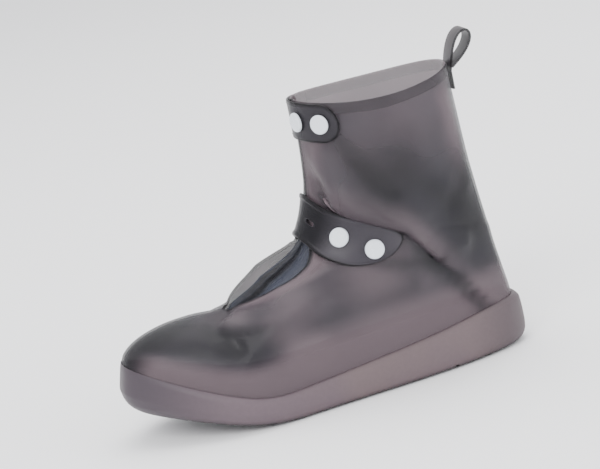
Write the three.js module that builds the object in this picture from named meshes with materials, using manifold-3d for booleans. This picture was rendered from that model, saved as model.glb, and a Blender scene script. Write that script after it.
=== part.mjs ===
// A high overshoe: a see-through rubber boot that is pulled on over an ordinary shoe to keep rain off.
// Millimetres, +Z up, the toe towards -X, the outer side of the left foot towards -Y.
// It stands on its sole, with the origin at the bottom centre of its box.
//
// The upper is lofted through near-level sections, from the sole's edge to the rim. A place on it has two
// numbers: level, which counts the section rows upwards, and turn, the angle round the section in radians,
// 0 at the front, positive over the outer side and pi at the heel.
// Everything is drawn with a flat sole first, and springToe then lifts the toe.

import * as THREE from "three";
import Module from "manifold-3d";

const wasm = await Module();
wasm.setup();

// Overall sizes
const SOLE_LENGTH = 301; // the upper's lower edge, toe to heel, along the flat sole
const BALL_WIDTH = 104; // the upper at the ball of the foot
const THROAT_HEIGHT = 75.5; // the foot of the front opening
const COLLAR_HEIGHT = 215; // at the front and the back
const COLLAR_WIDTH = 94;
const COLLAR_DEPTH = 115;
const COLLAR_DIP = 5; // how far the rim sags at the sides
const DIP_LEVELS = 5; // the sag fades out over this many levels
const TOE_INWARD = 7; // how far the toe leans to the inner side
const TOE_SPRING = THREE.MathUtils.degToRad(14);
const BREAK_PLACE = 176; // where the toe spring starts, from the heel
const BREAK_LENGTH = 50; // the stretch that bends

// Walls and clearances
const WALL = 1.6;
const CLEARANCE = 0.35;
const LAID_GAP = 0.9; // between the upper and what is laid over its curved wall
const HEM_HEIGHT = 8.5;
const HEM_THICKNESS = 0.5;
const GUSSET_WALL = 1.2;
const GUSSET_GAP = 1.2; // between the gusset and the upper's curved wall
const GUSSET_MARGIN = 5; // what the gusset tucks under the upper's edges
const GUSSET_LEAST_HALF = 3; // half its width where the opening is shut
const LIP_SPREAD = 0.34; // how far the opening's flared lip reaches back, in radians of turn

// Sole
const TOE_BAND = 35.5; // height of the sole's side at the toe
const SOLE_BULGE = 6; // how far the sole's side stands out from the upper
const SOLE_EDGE_RADIUS = 9;
const SOLE_FLOOR = 6;
const SOLE_COVE = 7; // the hollow's rounded corner
const TUCK = 5; // depth of the step that the upper's lower edge stands in
const TREAD_DEPTH = 2.2;
const TREAD_GROOVE = 3.4;
const TREAD_PITCH = 13;
const TREAD_WIDTH = 62;
const TREAD_START = 0.098; // a share of the length from the toe
const TREAD_FRONT_COUNT = 10;
const TREAD_HEEL_COUNT = 3;
const HEEL_BREAST = 60; // from the heel to the notch in front of it
const HEEL_NOTCH_DEPTH = 3.4;
const WAIST_RISE = 2; // how far the waist stands off the floor in front of the heel
const WAIST_LENGTH = 80;

// Instep strap
const STRAP_WIDTH = 31; // at the front
const STRAP_END_WIDTH = 36;
const STRAP_THICKNESS = 2.2;
const STRAP_FIELD = 1.6; // thickness inside the raised border
const STRAP_BORDER = 3;
const STRAP_BORDER_SLOPE = 0.8; // from the border down to the field
const STRAP_WAIST_FROM = 20; // its narrow front widens from here
const STRAP_WAIST_TO = 52; // to here
const STRAP_HEIGHT = 131; // its middle at the front
const STRAP_SLOPE = 0.58;
const STRAP_DROP = 5.5; // how far its sides hang below a straight cut
const STRAP_DROP_TURN = 0.8; // over this much turn from the front
const STRAP_OUTER_REACH = 79.5; // along its middle, from the front to the round end with the snaps
const STRAP_INNER_REACH = 66; // to the root
const STRAP_SLOT_PLACE = 14;
const STRAP_SLOT_LENGTH = 9;
const STRAP_SLOT_WIDTH = 3.2;
const STRAP_PITCH = 8; // of the stations along it
const BAND_LEAST = 0.3; // the least share of a band's half width inside its border

// Collar tab
const TAB_HEIGHT = 28;
const TAB_THICKNESS = 2;
const TAB_BELOW_RIM = 0.6;
const TAB_OUTER_REACH = 45.5;
const TAB_INNER_REACH = 30;
const TAB_ROOT_ROUND = 4.7;
const TAB_PITCH = 6.5;

// Snap fasteners
const CAP_RADIUS = 7;
const CAP_THICKNESS = 1.9;
const CAP_BEVEL = 0.7;
const CAP_SEAT = 0.7; // room between the cap and the curved band under it
const POST_RADIUS = 2;
const BASE_RADIUS = 4.8;
const BASE_THICKNESS = 1.5;
const BASE_SEAT = 0.7; // room between the base and the curved wall inside
const STRAP_END_TO_SNAP = 14.5; // from the strap's round end
const STRAP_SNAP_PITCH = 25;
const TAB_END_TO_SNAP = 14;
const TAB_SNAP_PITCH = 21;

// Pull loop
const LOOP_WIDTH = 18;
const LOOP_THICKNESS = 1.8;
const LOOP_FOOT = 7; // where it leaves the wall, below the rim
const LOOP_RISE = 26; // from its foot to its top
const LOOP_LEAN = 18; // how far its top leans back
const LOOP_BELLY = 4.6; // half the width of its eye
const LOOP_TAIL = 21; // the leg welded down the back
const LOOP_FULLNESS = 1.3; // widens the drop so that its eye reaches the belly
const LOOP_POINT = 1.2; // how sharply the drop narrows to its foot
const LOOP_STEPS = 18;

// How finely the curved pieces are divided
const COLUMNS = 50;
const SNAP_SIDES = 14;
const ROUND_ANGLES = [80, 60, 38, 15]; // where a band's round ends have stations, in degrees
const NORMAL_STEP = 0.02; // for the slope of the plain surface, in levels and radians
const FOLDED_STEP = 0.03;
const LAY_STEPS = 60;
const LAY_REACH = THREE.MathUtils.degToRad(120);
const LAY_NEAR = 2;

// How the folds fade
const PRESS_SPREAD = 0.6; // past the strap's edge, as a share of its half width
const PRESS_FADE = 30; // behind the strap's round end
const TAB_PRESS_SPREAD = 0.5; // below the tab, as a share of its height
const TAB_PRESS_FADE = 20;
const RIM_CALM = 0.8; // the share of a fold that is gone at the rim
const RIM_CALM_LEVELS = 0.9;
const SOLE_CALM_LEVELS = 1.2;

// The sole's side by place, a share of the upper's length from the toe: height is a share of the toe's band
// and bulge a share of the sole's bulge, radius a share of the lower edge's radius.
const BAND_ROWS = [
  { place: 0, height: 1, bulge: 0.12, radius: 3 },
  { place: 0.06, height: 0.88, bulge: 0.35, radius: 2.5 },
  { place: 0.2, height: 0.66, bulge: 0.8, radius: 1.6 },
  { place: 0.32, height: 0.565, bulge: 1, radius: 1.1 },
  { place: 0.48, height: 0.625, bulge: 0.95, radius: 1 },
  { place: 0.63, height: 0.73, bulge: 0.9, radius: 1 },
  { place: 0.78, height: 0.85, bulge: 0.9, radius: 1 },
  { place: 0.92, height: 0.99, bulge: 0.95, radius: 1.2 },
  { place: 1, height: 1.025, bulge: 1, radius: 1.4 },
];

// Section rows of the foot, from the sole's edge up to the foot of the opening: front and back are shares
// of the length from the toe, the ups are shares of the way from the toe's band to the throat, and follow
// is the share of the band's hollow that the row still follows. toe to heel are half widths as shares of
// the ball width, evenly spaced along the section, and square flattens the section's two ends.
const FOOT = {
  front: [0, 0.006, 0.024, 0.054, 0.098, 0.158, 0.234],
  back: [1, 0.997, 0.993, 0.989, 0.985, 0.982, 0.98],
  frontUp: [0, 0.155, 0.33, 0.5, 0.67, 0.82, 1],
  backUp: [0.022, 0.24, 0.46, 0.68, 0.9, 1.11, 1.32],
  follow: [1, 0.84, 0.66, 0.44, 0.24, 0.1, 0],
  toe: [0.47, 0.465, 0.46, 0.445, 0.42, 0.395, 0.375],
  fore: [0.53, 0.53, 0.52, 0.5, 0.47, 0.44, 0.415],
  middle: [0.415, 0.415, 0.41, 0.405, 0.4, 0.395, 0.395],
  rear: [0.385, 0.385, 0.38, 0.375, 0.37, 0.37, 0.37],
  heel: [0.375, 0.375, 0.37, 0.37, 0.37, 0.37, 0.37],
  square: [0.22, 0.22, 0.2, 0.18, 0.15, 0.11, 0.07],
};
const THROAT = FOOT.front.length - 1;

// Section rows of the shaft: front is a share of the way from the throat to the collar's front, back a
// share of the length, and the ups are shares of the way from the throat to the rim. Half widths are shares
// of the collar's width.
const SHAFT = {
  front: [0.2, 0.415, 0.63, 0.79, 0.89, 0.955, 0.984, 0.997, 1],
  back: [0.977, 0.973, 0.969, 0.965, 0.961, 0.958, 0.955, 0.952, 0.949],
  frontUp: [0.062, 0.125, 0.19, 0.262, 0.37, 0.508, 0.665, 0.838, 1],
  backUp: [0.13, 0.205, 0.285, 0.366, 0.457, 0.558, 0.695, 0.846, 1],
  toe: [0.405, 0.4, 0.395, 0.395, 0.4, 0.42, 0.45, 0.48, 0.5],
  fore: [0.44, 0.435, 0.43, 0.43, 0.435, 0.45, 0.47, 0.485, 0.5],
  middle: [0.435, 0.44, 0.445, 0.45, 0.455, 0.465, 0.478, 0.49, 0.5],
  rear: [0.41, 0.41, 0.41, 0.415, 0.42, 0.435, 0.455, 0.475, 0.49],
  heel: [0.41, 0.41, 0.41, 0.415, 0.42, 0.43, 0.45, 0.47, 0.49],
  square: [0.04, 0.02, 0, 0, 0, 0, 0, 0, 0],
};
const RIM = THROAT + SHAFT.front.length;

// The front opening by level: the half gaps and how far the lips stand out, as shares of the collar's width.
const OPENING_ROWS = [
  { level: 6, outer: 0, inner: 0, outerLift: 0, innerLift: 0 },
  { level: 6.4, outer: 0.12, inner: 0.1, outerLift: 0.006, innerLift: 0.035 },
  { level: 7, outer: 0.22, inner: 0.19, outerLift: 0.016, innerLift: 0.07 },
  { level: 7.8, outer: 0.3, inner: 0.26, outerLift: 0.02, innerLift: 0.08 },
  { level: 8.6, outer: 0.3, inner: 0.26, outerLift: 0.012, innerLift: 0.08 },
  { level: 9.3, outer: 0.26, inner: 0.22, outerLift: 0, innerLift: 0.06 },
  { level: 9.8, outer: 0.22, inner: 0.19, outerLift: 0, innerLift: 0 },
  { level: 11, outer: 0.11, inner: 0.1, outerLift: 0, innerLift: 0 },
  { level: 11.8, outer: 0.04, inner: 0.04, outerLift: 0, innerLift: 0 },
  { level: 12.5, outer: 0.01, inner: 0.01, outerLift: 0, innerLift: 0 },
  { level: 15, outer: 0.01, inner: 0.01, outerLift: 0, innerLift: 0 },
];

// Levels at which the upper has a row of points, from the sole's edge to the rim.
const UPPER_LEVELS = [
  0, 0.8, 1.6, 2.4, 3.2, 4, 4.8, 5.5, 6, 6.5, 7, 7.5, 8, 8.5, 9, 9.5, 10, 10.5, 11, 11.5, 12, 12.5, 13, 13.5, 14,
];

// Folds of the upper. Each runs between two places, given by level and turn in degrees; rise is how far it
// stands out, or in where it is negative, and spread is its half width, both as shares of the collar's
// width.
const FOLDS = [
  { name: "ankle_crease_outer", level: 12.3, turn: 24, toLevel: 5.2, toTurn: 124, rise: -0.05, spread: 0.085 },
  { name: "ankle_roll_outer", level: 13.2, turn: 30, toLevel: 6.4, toTurn: 136, rise: 0.042, spread: 0.1 },
  { name: "tab_valley_outer", level: 13.9, turn: 46, toLevel: 11.6, toTurn: 82, rise: -0.034, spread: 0.085 },
  { name: "shaft_ridge_outer", level: 14.3, turn: 84, toLevel: 11, toTurn: 122, rise: 0.026, spread: 0.11 },
  { name: "shaft_valley_outer", level: 12.6, turn: 92, toLevel: 9.6, toTurn: 128, rise: -0.026, spread: 0.09 },
  { name: "back_ridge_outer", level: 14.2, turn: 138, toLevel: 10.4, toTurn: 146, rise: 0.024, spread: 0.1 },
  { name: "vamp_crease_outer", level: 6, turn: 10, toLevel: 3.4, toTurn: 52, rise: -0.032, spread: 0.08 },
  { name: "vamp_roll_outer", level: 4.6, turn: 62, toLevel: 2.6, toTurn: 84, rise: 0.02, spread: 0.12 },
  { name: "ankle_crease_inner", level: 12.1, turn: -30, toLevel: 5.4, toTurn: -122, rise: -0.034, spread: 0.09 },
  { name: "ankle_roll_inner", level: 13, turn: -40, toLevel: 6.8, toTurn: -134, rise: 0.028, spread: 0.1 },
  { name: "shaft_valley_inner", level: 13.8, turn: -56, toLevel: 11.8, toTurn: -92, rise: -0.022, spread: 0.09 },
  { name: "shaft_ridge_inner", level: 14.2, turn: -100, toLevel: 10.8, toTurn: -120, rise: 0.02, spread: 0.11 },
  { name: "vamp_crease_inner", level: 6, turn: -12, toLevel: 3.6, toTurn: -50, rise: -0.024, spread: 0.08 },
];
const FOLD_STEPS = 10;

// The gusset across the opening, with a raised pleat down its middle: place is a share of the way to the
// opening's edge, inner side negative, and depth is measured in from the upper's outer face, as a share of
// the collar's width.
const GUSSET_ROWS_ACROSS = [
  { place: -0.8, depth: 0.05 },
  { place: -0.5, depth: 0.075 },
  { place: -0.27, depth: 0.08 },
  { place: -0.22, depth: 0.035 },
  { place: -0.1, depth: 0.022 },
  { place: 0.1, depth: 0.022 },
  { place: 0.22, depth: 0.035 },
  { place: 0.27, depth: 0.08 },
  { place: 0.5, depth: 0.075 },
  { place: 0.8, depth: 0.05 },
];
// The gusset reaches from under the closed upper to below the tab's snaps.
const GUSSET_LEVELS = UPPER_LEVELS.filter((level) => level > THROAT - 0.6 && level < RIM - 1.2);

const { lerp, clamp, degToRad, smoothstep } = THREE.MathUtils;
const toeX = -SOLE_LENGTH / 2;
const alongSole = (share) => toeX + share * SOLE_LENGTH;
const throatX = alongSole(FOOT.front[THROAT]);
const collarBackX = alongSole(SHAFT.back[SHAFT.back.length - 1]);
const collarFrontX = collarBackX - COLLAR_DEPTH;
const breakX = SOLE_LENGTH / 2 - BREAK_PLACE;

// A smooth curve through a table's values, at rising places.
function curve(places, values, at) {
  const last = places.length - 1;
  if (at <= places[0]) return values[0];
  if (at >= places[last]) return values[last];
  const i = places.findIndex((place) => place > at) - 1;
  const step = places[i + 1] - places[i];
  const slope = (from, to) => (values[to] - values[from]) / (places[to] - places[from]);
  const slopeIn = step * slope(Math.max(i - 1, 0), i + 1);
  const slopeOut = step * slope(i, Math.min(i + 2, last));
  const rise = values[i + 1] - values[i];
  const t = (at - places[i]) / step;
  const cubic = slopeIn + slopeOut - 2 * rise;
  return values[i] + t * (slopeIn + t * (3 * rise - 2 * slopeIn - slopeOut + t * cubic));
}

const column = (rows, key) => rows.map((row) => row[key]);
const columns = (rows) => Object.fromEntries(Object.keys(rows[0]).map((key) => [key, column(rows, key)]));

const band = columns(BAND_ROWS);
const bandHeight = (share) => TOE_BAND * curve(band.place, band.height, share);
const bandBulge = (share) => SOLE_BULGE * curve(band.place, band.bulge, share);
const bandRadius = (share) => SOLE_EDGE_RADIUS * curve(band.place, band.radius, share);

const opening = columns(OPENING_ROWS);
const openingAt = (key, level) => COLLAR_WIDTH * Math.max(0, curve(opening.level, opening[key], level));

// The section rows in millimetres, those of the foot and then those of the shaft
const joined = (foot, shaft, key) => [...FOOT[key].map(foot), ...SHAFT[key].map(shaft)];
const footUp = (share) => lerp(TOE_BAND, THROAT_HEIGHT, share);
const shaftUp = (share) => lerp(THROAT_HEIGHT, COLLAR_HEIGHT, share);
const sections = {
  frontX: joined(alongSole, (share) => lerp(throatX, collarFrontX, share), "front"),
  backX: joined(alongSole, alongSole, "back"),
  frontZ: joined(footUp, shaftUp, "frontUp"),
  backZ: joined(footUp, shaftUp, "backUp"),
  follow: [...FOOT.follow, ...SHAFT.front.map(() => 0)],
  square: [...FOOT.square, ...SHAFT.square],
};
const WIDTH_KEYS = ["toe", "fore", "middle", "rear", "heel"];
const halfWidths = WIDTH_KEYS.map((key) =>
  joined((share) => share * BALL_WIDTH, (share) => share * COLLAR_WIDTH, key),
);
const levels = sections.frontX.map((_, level) => level);
const widthPlaces = WIDTH_KEYS.map((_, i) => i / (WIDTH_KEYS.length - 1));
const sectionValue = (key, level) => curve(levels, sections[key], level);
const sectionWidths = (level) => halfWidths.map((widths) => curve(levels, widths, level));

// The upper's outer face without folds, over a flat sole.
function plainPoint(level, turn) {
  const share = (1 - Math.cos(turn)) / 2;
  const side = Math.sin(turn);
  const width = curve(widthPlaces, sectionWidths(level), share);
  const x = lerp(sectionValue("frontX", level), sectionValue("backX", level), share);
  const lean = TOE_INWARD * smoothstep(-x, 0, SOLE_LENGTH / 2);
  const y = lean - Math.sign(side) * width * Math.abs(side) ** (1 - sectionValue("square", level));
  const hollow = TOE_BAND * lerp(1, BAND_ROWS[BAND_ROWS.length - 1].height, share) - bandHeight(share);
  const rise = lerp(sectionValue("frontZ", level), sectionValue("backZ", level), share);
  const sag = COLLAR_DIP * side * side * smoothstep(level, RIM - DIP_LEVELS, RIM);
  return new THREE.Vector3(x, y, rise - sectionValue("follow", level) * hollow - sag);
}

// How far a place lies above the strap's middle, square to the strap.
const strapLean = Math.hypot(1, STRAP_SLOPE);
const strapFront = plainPoint(levelOfHeight(STRAP_HEIGHT), 0);
function strapMeasure(point, turn) {
  const drop = STRAP_DROP * smoothstep(Math.acos(Math.cos(turn)), 0, STRAP_DROP_TURN);
  return (point.z - STRAP_HEIGHT + drop + STRAP_SLOPE * (point.x - strapFront.x)) / strapLean;
}
const rimMeasure = (point, turn) => point.z - plainPoint(RIM, turn).z;

function levelOfHeight(height) {
  return levelWhere(0, (point) => point.z, height);
}

// The level at which a rising measure of the plain upper reaches a value, at one turn.
function levelWhere(turn, measure, value) {
  let low = 0;
  let high = RIM;
  for (let halving = 0; halving < 26; halving++) {
    const middle = (low + high) / 2;
    if (measure(plainPoint(middle, turn), turn) < value) low = middle;
    else high = middle;
  }
  return (low + high) / 2;
}

// The folds as lines of points, and how much the strap and the tab press them flat.
const foldLines = FOLDS.map((fold) => ({
  rise: fold.rise * COLLAR_WIDTH,
  spread: fold.spread * COLLAR_WIDTH,
  points: Array.from({ length: FOLD_STEPS + 1 }, (_, i) => {
    const share = i / FOLD_STEPS;
    return plainPoint(lerp(fold.level, fold.toLevel, share), degToRad(lerp(fold.turn, fold.toTurn, share)));
  }),
}));

function distanceToLine(point, line) {
  const nearest = new THREE.Vector3();
  const pieces = line.slice(1).map((end, i) => new THREE.Line3(line[i], end));
  return Math.min(...pieces.map((piece) => piece.closestPointToPoint(point, true, nearest).distanceTo(point)));
}

function pressedFlat(point, turn) {
  const acrossStrap = Math.abs(strapMeasure(point, turn)) / (STRAP_END_WIDTH / 2);
  const strapEndX = strapFront.x + STRAP_OUTER_REACH / strapLean;
  const behindStrap = smoothstep(point.x, strapEndX, strapEndX + PRESS_FADE);
  const byStrap = (1 - smoothstep(acrossStrap, 1, 1 + PRESS_SPREAD)) * (1 - behindStrap);
  const tabEndX = collarFrontX + TAB_OUTER_REACH / 2;
  const belowTab = -rimMeasure(point, turn) / TAB_HEIGHT;
  const behindTab = smoothstep(point.x, tabEndX, tabEndX + TAB_PRESS_FADE);
  const byTab = (1 - smoothstep(belowTab, 1, 1 + TAB_PRESS_SPREAD)) * (1 - behindTab);
  return Math.max(byStrap, byTab);
}

function foldRise(level, turn) {
  const point = plainPoint(level, turn);
  const rise = foldLines
    .map((line) => line.rise * Math.exp(-((distanceToLine(point, line.points) / line.spread) ** 2)))
    .reduce((sum, value) => sum + value, 0);
  const atRim = RIM_CALM * smoothstep(level, RIM - RIM_CALM_LEVELS, RIM);
  const calm = (1 - atRim) * smoothstep(level, 0, SOLE_CALM_LEVELS);
  return rise * (1 - pressedFlat(point, turn)) * calm;
}

// Half the opening at a level as a turn, and how far its lips stand out.
function openingTurn(side, level) {
  const share = openingAt(side, level) / sectionWidths(level)[1];
  return Math.asin(clamp(share, 0, 0.9)) * (level > THROAT ? 1 : 0);
}

function lipRise(level, turn) {
  const around = turn > Math.PI ? turn - 2 * Math.PI : turn;
  const side = around >= 0 ? "outer" : "inner";
  const past = Math.abs(around) - openingTurn(side, level);
  const lift = openingAt(`${side}Lift`, level) * Math.exp(-((Math.max(past, 0) / LIP_SPREAD) ** 2));
  return lift * (1 - pressedFlat(plainPoint(level, turn), turn));
}

function plainNormal(level, turn) {
  const upper = Math.min(level + NORMAL_STEP, RIM);
  const lower = Math.max(level - NORMAL_STEP, 0);
  const across = plainPoint(level, turn + NORMAL_STEP).sub(plainPoint(level, turn - NORMAL_STEP));
  return across.cross(plainPoint(upper, turn).sub(plainPoint(lower, turn))).normalize();
}

// The upper's outer face with its folds, over a flat sole. Lips are left out for the sheets beside it.
function foldedPoint(level, turn, withLips) {
  const rise = foldRise(level, turn) + (withLips ? lipRise(level, turn) : 0);
  return plainPoint(level, turn).addScaledVector(plainNormal(level, turn), rise);
}

function foldedNormal(level, turn, withLips) {
  const at = (atLevel, atTurn) => foldedPoint(atLevel, atTurn, withLips);
  const across = at(level, turn + FOLDED_STEP).sub(at(level, turn - FOLDED_STEP));
  const up = at(Math.min(level + FOLDED_STEP, RIM), turn).sub(at(Math.max(level - FOLDED_STEP, 0), turn));
  return across.cross(up).normalize();
}

// A place beside the folded upper, at a distance out from its outer face.
function besideUpper(level, turn, out) {
  return foldedPoint(level, turn, false).addScaledVector(foldedNormal(level, turn, false), out);
}

// Lifts the toe: what lies in front of the break turns up round it.
function springToe(point) {
  const ahead = Math.max(0, breakX - point.x);
  const bent = Math.min(ahead, BREAK_LENGTH);
  const angle = (TOE_SPRING * bent) / BREAK_LENGTH;
  const radius = BREAK_LENGTH / TOE_SPRING;
  const straight = ahead - bent;
  const behind = Math.max(point.x, breakX);
  const x = behind - radius * Math.sin(angle) - straight * Math.cos(angle) + point.z * Math.sin(angle);
  const z = radius * (1 - Math.cos(angle)) + straight * Math.sin(angle) + point.z * Math.cos(angle);
  return new THREE.Vector3(x, point.y, z);
}

// A solid made of facets, gathered point by point.
class Facets {
  constructor() {
    this.points = [];
    this.faces = [];
  }

  point(place) {
    this.points.push(place.x, place.y, place.z);
    return this.points.length / 3 - 1;
  }

  triangle(a, b, c) {
    if (a !== b && b !== c && c !== a) this.faces.push(a, b, c);
  }

  quad(a, b, c, d) {
    this.triangle(a, b, c);
    this.triangle(a, c, d);
  }

  solid() {
    const mesh = new wasm.Mesh({
      numProp: 3,
      vertProperties: new Float32Array(this.points),
      triVerts: new Uint32Array(this.faces),
    });
    return new wasm.Manifold(mesh);
  }
}

// A sheet from two grids of points, outer and inner, each a list of rows. Both are open on all four sides.
function sheetSolid(outerRows, innerRows) {
  const facets = new Facets();
  const outer = outerRows.map((row) => row.map((place) => facets.point(place)));
  const inner = innerRows.map((row) => row.map((place) => facets.point(place)));
  const lastRow = outer.length - 1;
  const lastColumn = outer[0].length - 1;
  for (let r = 0; r < lastRow; r++) {
    for (let c = 0; c < lastColumn; c++) {
      facets.quad(outer[r][c], outer[r][c + 1], outer[r + 1][c + 1], outer[r + 1][c]);
      facets.quad(inner[r][c + 1], inner[r][c], inner[r + 1][c], inner[r + 1][c + 1]);
    }
    facets.quad(outer[r][0], outer[r + 1][0], inner[r + 1][0], inner[r][0]);
    facets.quad(outer[r + 1][lastColumn], outer[r][lastColumn], inner[r][lastColumn], inner[r + 1][lastColumn]);
  }
  for (let c = 0; c < lastColumn; c++) {
    facets.quad(outer[0][c + 1], outer[0][c], inner[0][c], inner[0][c + 1]);
    facets.quad(outer[lastRow][c], outer[lastRow][c + 1], inner[lastRow][c + 1], inner[lastRow][c]);
  }
  return facets.solid();
}

// A turned solid round an axis: profile rows have a radius and a height, bottom first, and run either from
// the axis to the axis or round a ring's cross section.
function turnedSolid(profile, place, axis) {
  const facets = new Facets();
  const turnUp = new THREE.Quaternion().setFromUnitVectors(new THREE.Vector3(0, 0, 1), axis);
  const spot = (row, i) => {
    const angle = (2 * Math.PI * i) / SNAP_SIDES;
    const local = new THREE.Vector3(row.radius * Math.cos(angle), row.radius * Math.sin(angle), row.height);
    return facets.point(local.applyQuaternion(turnUp).add(place));
  };
  const rings = profile.map((row) => {
    if (row.radius === 0) return Array(SNAP_SIDES).fill(spot(row, 0));
    return Array.from({ length: SNAP_SIDES }, (_, i) => spot(row, i));
  });
  const closesOnAxis = profile[0].radius === 0;
  const last = closesOnAxis ? rings.length - 1 : rings.length;
  for (let r = 0; r < last; r++) {
    const above = rings[(r + 1) % rings.length];
    for (let i = 0; i < SNAP_SIDES; i++) {
      const next = (i + 1) % SNAP_SIDES;
      facets.quad(rings[r][i], rings[r][next], above[next], above[i]);
    }
  }
  return facets.solid();
}

const pinSolid = (radius, from, to, place, axis) =>
  turnedSolid(
    [
      { radius: 0, height: from },
      { radius, height: from },
      { radius, height: to },
      { radius: 0, height: to },
    ],
    place,
    axis,
  );

// Upper
// The hem is a thicker band under the rim.
const hemFoot = levelOfHeight(COLLAR_HEIGHT - HEM_HEIGHT);
const hemTop = levelOfHeight(COLLAR_HEIGHT - HEM_HEIGHT + HEM_THICKNESS);
const upperRows = [
  ...UPPER_LEVELS.map((level) => ({ level, out: 0 })),
  { level: hemFoot, out: 0 },
  { level: hemTop, out: HEM_THICKNESS },
  { level: RIM, out: HEM_THICKNESS },
];

function upperTurn(level, index) {
  const from = openingTurn("outer", level);
  const to = 2 * Math.PI - openingTurn("inner", level);
  return lerp(from, to, index / COLUMNS);
}

function planNormal(turn) {
  const across = plainPoint(0, turn + NORMAL_STEP).sub(plainPoint(0, turn - NORMAL_STEP));
  return new THREE.Vector3(across.y, -across.x, 0).normalize();
}

function upperSolid() {
  const facets = new Facets();
  const outer = [];
  const inner = [];
  const addRow = (level, place) => {
    const closed = level <= THROAT;
    const count = closed ? COLUMNS : COLUMNS + 1;
    const outerRow = [];
    const innerRow = [];
    for (let c = 0; c < count; c++) {
      const faces = place(upperTurn(level, c));
      outerRow.push(facets.point(springToe(faces.outer)));
      innerRow.push(facets.point(springToe(faces.inner)));
    }
    if (closed) {
      outerRow.push(outerRow[0]);
      innerRow.push(innerRow[0]);
    }
    outer.push(outerRow);
    inner.push(innerRow);
  };
  addRow(0, (turn) => {
    const foot = plainPoint(0, turn).setZ(plainPoint(0, turn).z - TUCK);
    return { outer: foot, inner: foot.clone().addScaledVector(planNormal(turn), -WALL) };
  });
  for (const { level, out } of upperRows) {
    addRow(level, (turn) => {
      const face = foldedPoint(level, turn, true);
      const normal = foldedNormal(level, turn, true);
      return { outer: face.clone().addScaledVector(normal, out), inner: face.addScaledVector(normal, -WALL) };
    });
  }
  const top = outer.length - 1;
  const throatRow = 1 + UPPER_LEVELS.indexOf(THROAT);
  for (let r = 0; r < top; r++) {
    for (let c = 0; c < COLUMNS; c++) {
      const corners = (rows) => [rows[r][c], rows[r][c + 1], rows[r + 1][c + 1], rows[r + 1][c]];
      const face = corners(outer);
      const back = corners(inner).reverse();
      // Each side's facets are split along its folds.
      if (c < COLUMNS / 2) {
        facets.quad(face[1], face[2], face[3], face[0]);
        facets.quad(...back);
      } else {
        facets.quad(...face);
        facets.quad(back[3], back[0], back[1], back[2]);
      }
    }
    if (r >= throatRow) {
      facets.quad(outer[r][0], outer[r + 1][0], inner[r + 1][0], inner[r][0]);
      facets.quad(outer[r + 1][COLUMNS], outer[r][COLUMNS], inner[r][COLUMNS], inner[r + 1][COLUMNS]);
    }
  }
  for (let c = 0; c < COLUMNS; c++) {
    facets.quad(outer[0][c + 1], outer[0][c], inner[0][c], inner[0][c + 1]);
    facets.quad(outer[top][c], outer[top][c + 1], inner[top][c + 1], inner[top][c]);
  }
  return facets.solid();
}

// Outsole
// Its side, from the flat tread up: a row's share of the bulge less its share of the edge's radius gives
// how far out it stands, and its height is a share of the edge, or below the top by a share of the
// shoulder.
const SOLE_EDGE_ROWS = [
  { bulge: 1, radius: 1, edge: 0 },
  { bulge: 1, radius: 0.5, edge: 0.12 },
  { bulge: 1, radius: 0.18, edge: 0.4 },
  { bulge: 1, radius: 0.03, edge: 0.8 },
];
const SOLE_SHOULDER_ROWS = [
  { bulge: 0.9, shoulder: 0.6 },
  { bulge: 0.68, shoulder: 0.26 },
  { bulge: 0.36, shoulder: 0.05 },
];
const SOLE_WIDEST = 0.52; // the share of its height at which the side is widest
const TOP_BEVEL = 0.3;
const COVE_ROWS = [
  { inward: 0.15, up: 0.45 },
  { inward: 0.5, up: 0.12 },
  { inward: 1, up: 0 },
];

// The sole's cross section, from the flat tread round the outside, over the top and down into the hollow.
function soleProfile(share) {
  const height = bandHeight(share);
  const bulge = bandBulge(share);
  const radius = bandRadius(share);
  const edge = Math.min(radius, height / 2);
  const ledge = height - TUCK - CLEARANCE;
  const ledgeEnd = -(WALL + 2 * CLEARANCE);
  return [
    ...SOLE_EDGE_ROWS.map((row) => ({ out: bulge * row.bulge - radius * row.radius, up: edge * row.edge })),
    { out: bulge, up: height * SOLE_WIDEST },
    ...SOLE_SHOULDER_ROWS.map((row) => ({
      out: bulge * row.bulge,
      up: height - SOLE_EDGE_RADIUS * row.shoulder,
    })),
    { out: CLEARANCE + TOP_BEVEL, up: height },
    { out: CLEARANCE, up: height - TOP_BEVEL },
    { out: CLEARANCE, up: ledge },
    { out: ledgeEnd, up: ledge },
    ...COVE_ROWS.map((row) => ({
      out: ledgeEnd - SOLE_COVE * row.inward,
      up: SOLE_FLOOR + SOLE_COVE * row.up,
    })),
  ];
}

function soleSolid() {
  const facets = new Facets();
  const rings = Array.from({ length: COLUMNS }, (_, c) => {
    const turn = (2 * Math.PI * c) / COLUMNS;
    const edge = plainPoint(0, turn);
    const normal = planNormal(turn);
    const profile = soleProfile((1 - Math.cos(turn)) / 2);
    return profile.map(({ out, up }) => {
      const place = edge.clone().addScaledVector(normal, out).setZ(up);
      return facets.point(springToe(place));
    });
  });
  const last = rings[0].length - 1;
  for (let c = 0; c < COLUMNS; c++) {
    const next = rings[(c + 1) % COLUMNS];
    for (let r = 0; r < last; r++) facets.quad(rings[c][r], next[r], next[r + 1], rings[c][r + 1]);
  }
  // The tread and the floor close across from the outer to the inner side.
  for (let c = 0; c < COLUMNS / 2; c++) {
    const [here, ahead] = [rings[c], rings[c + 1]];
    const [facing, facingAhead] = [rings[(COLUMNS - c) % COLUMNS], rings[COLUMNS - c - 1]];
    facets.quad(here[0], facing[0], facingAhead[0], ahead[0]);
    facets.quad(facing[last], here[last], ahead[last], facingAhead[last]);
  }
  return facets.solid();
}

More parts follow.
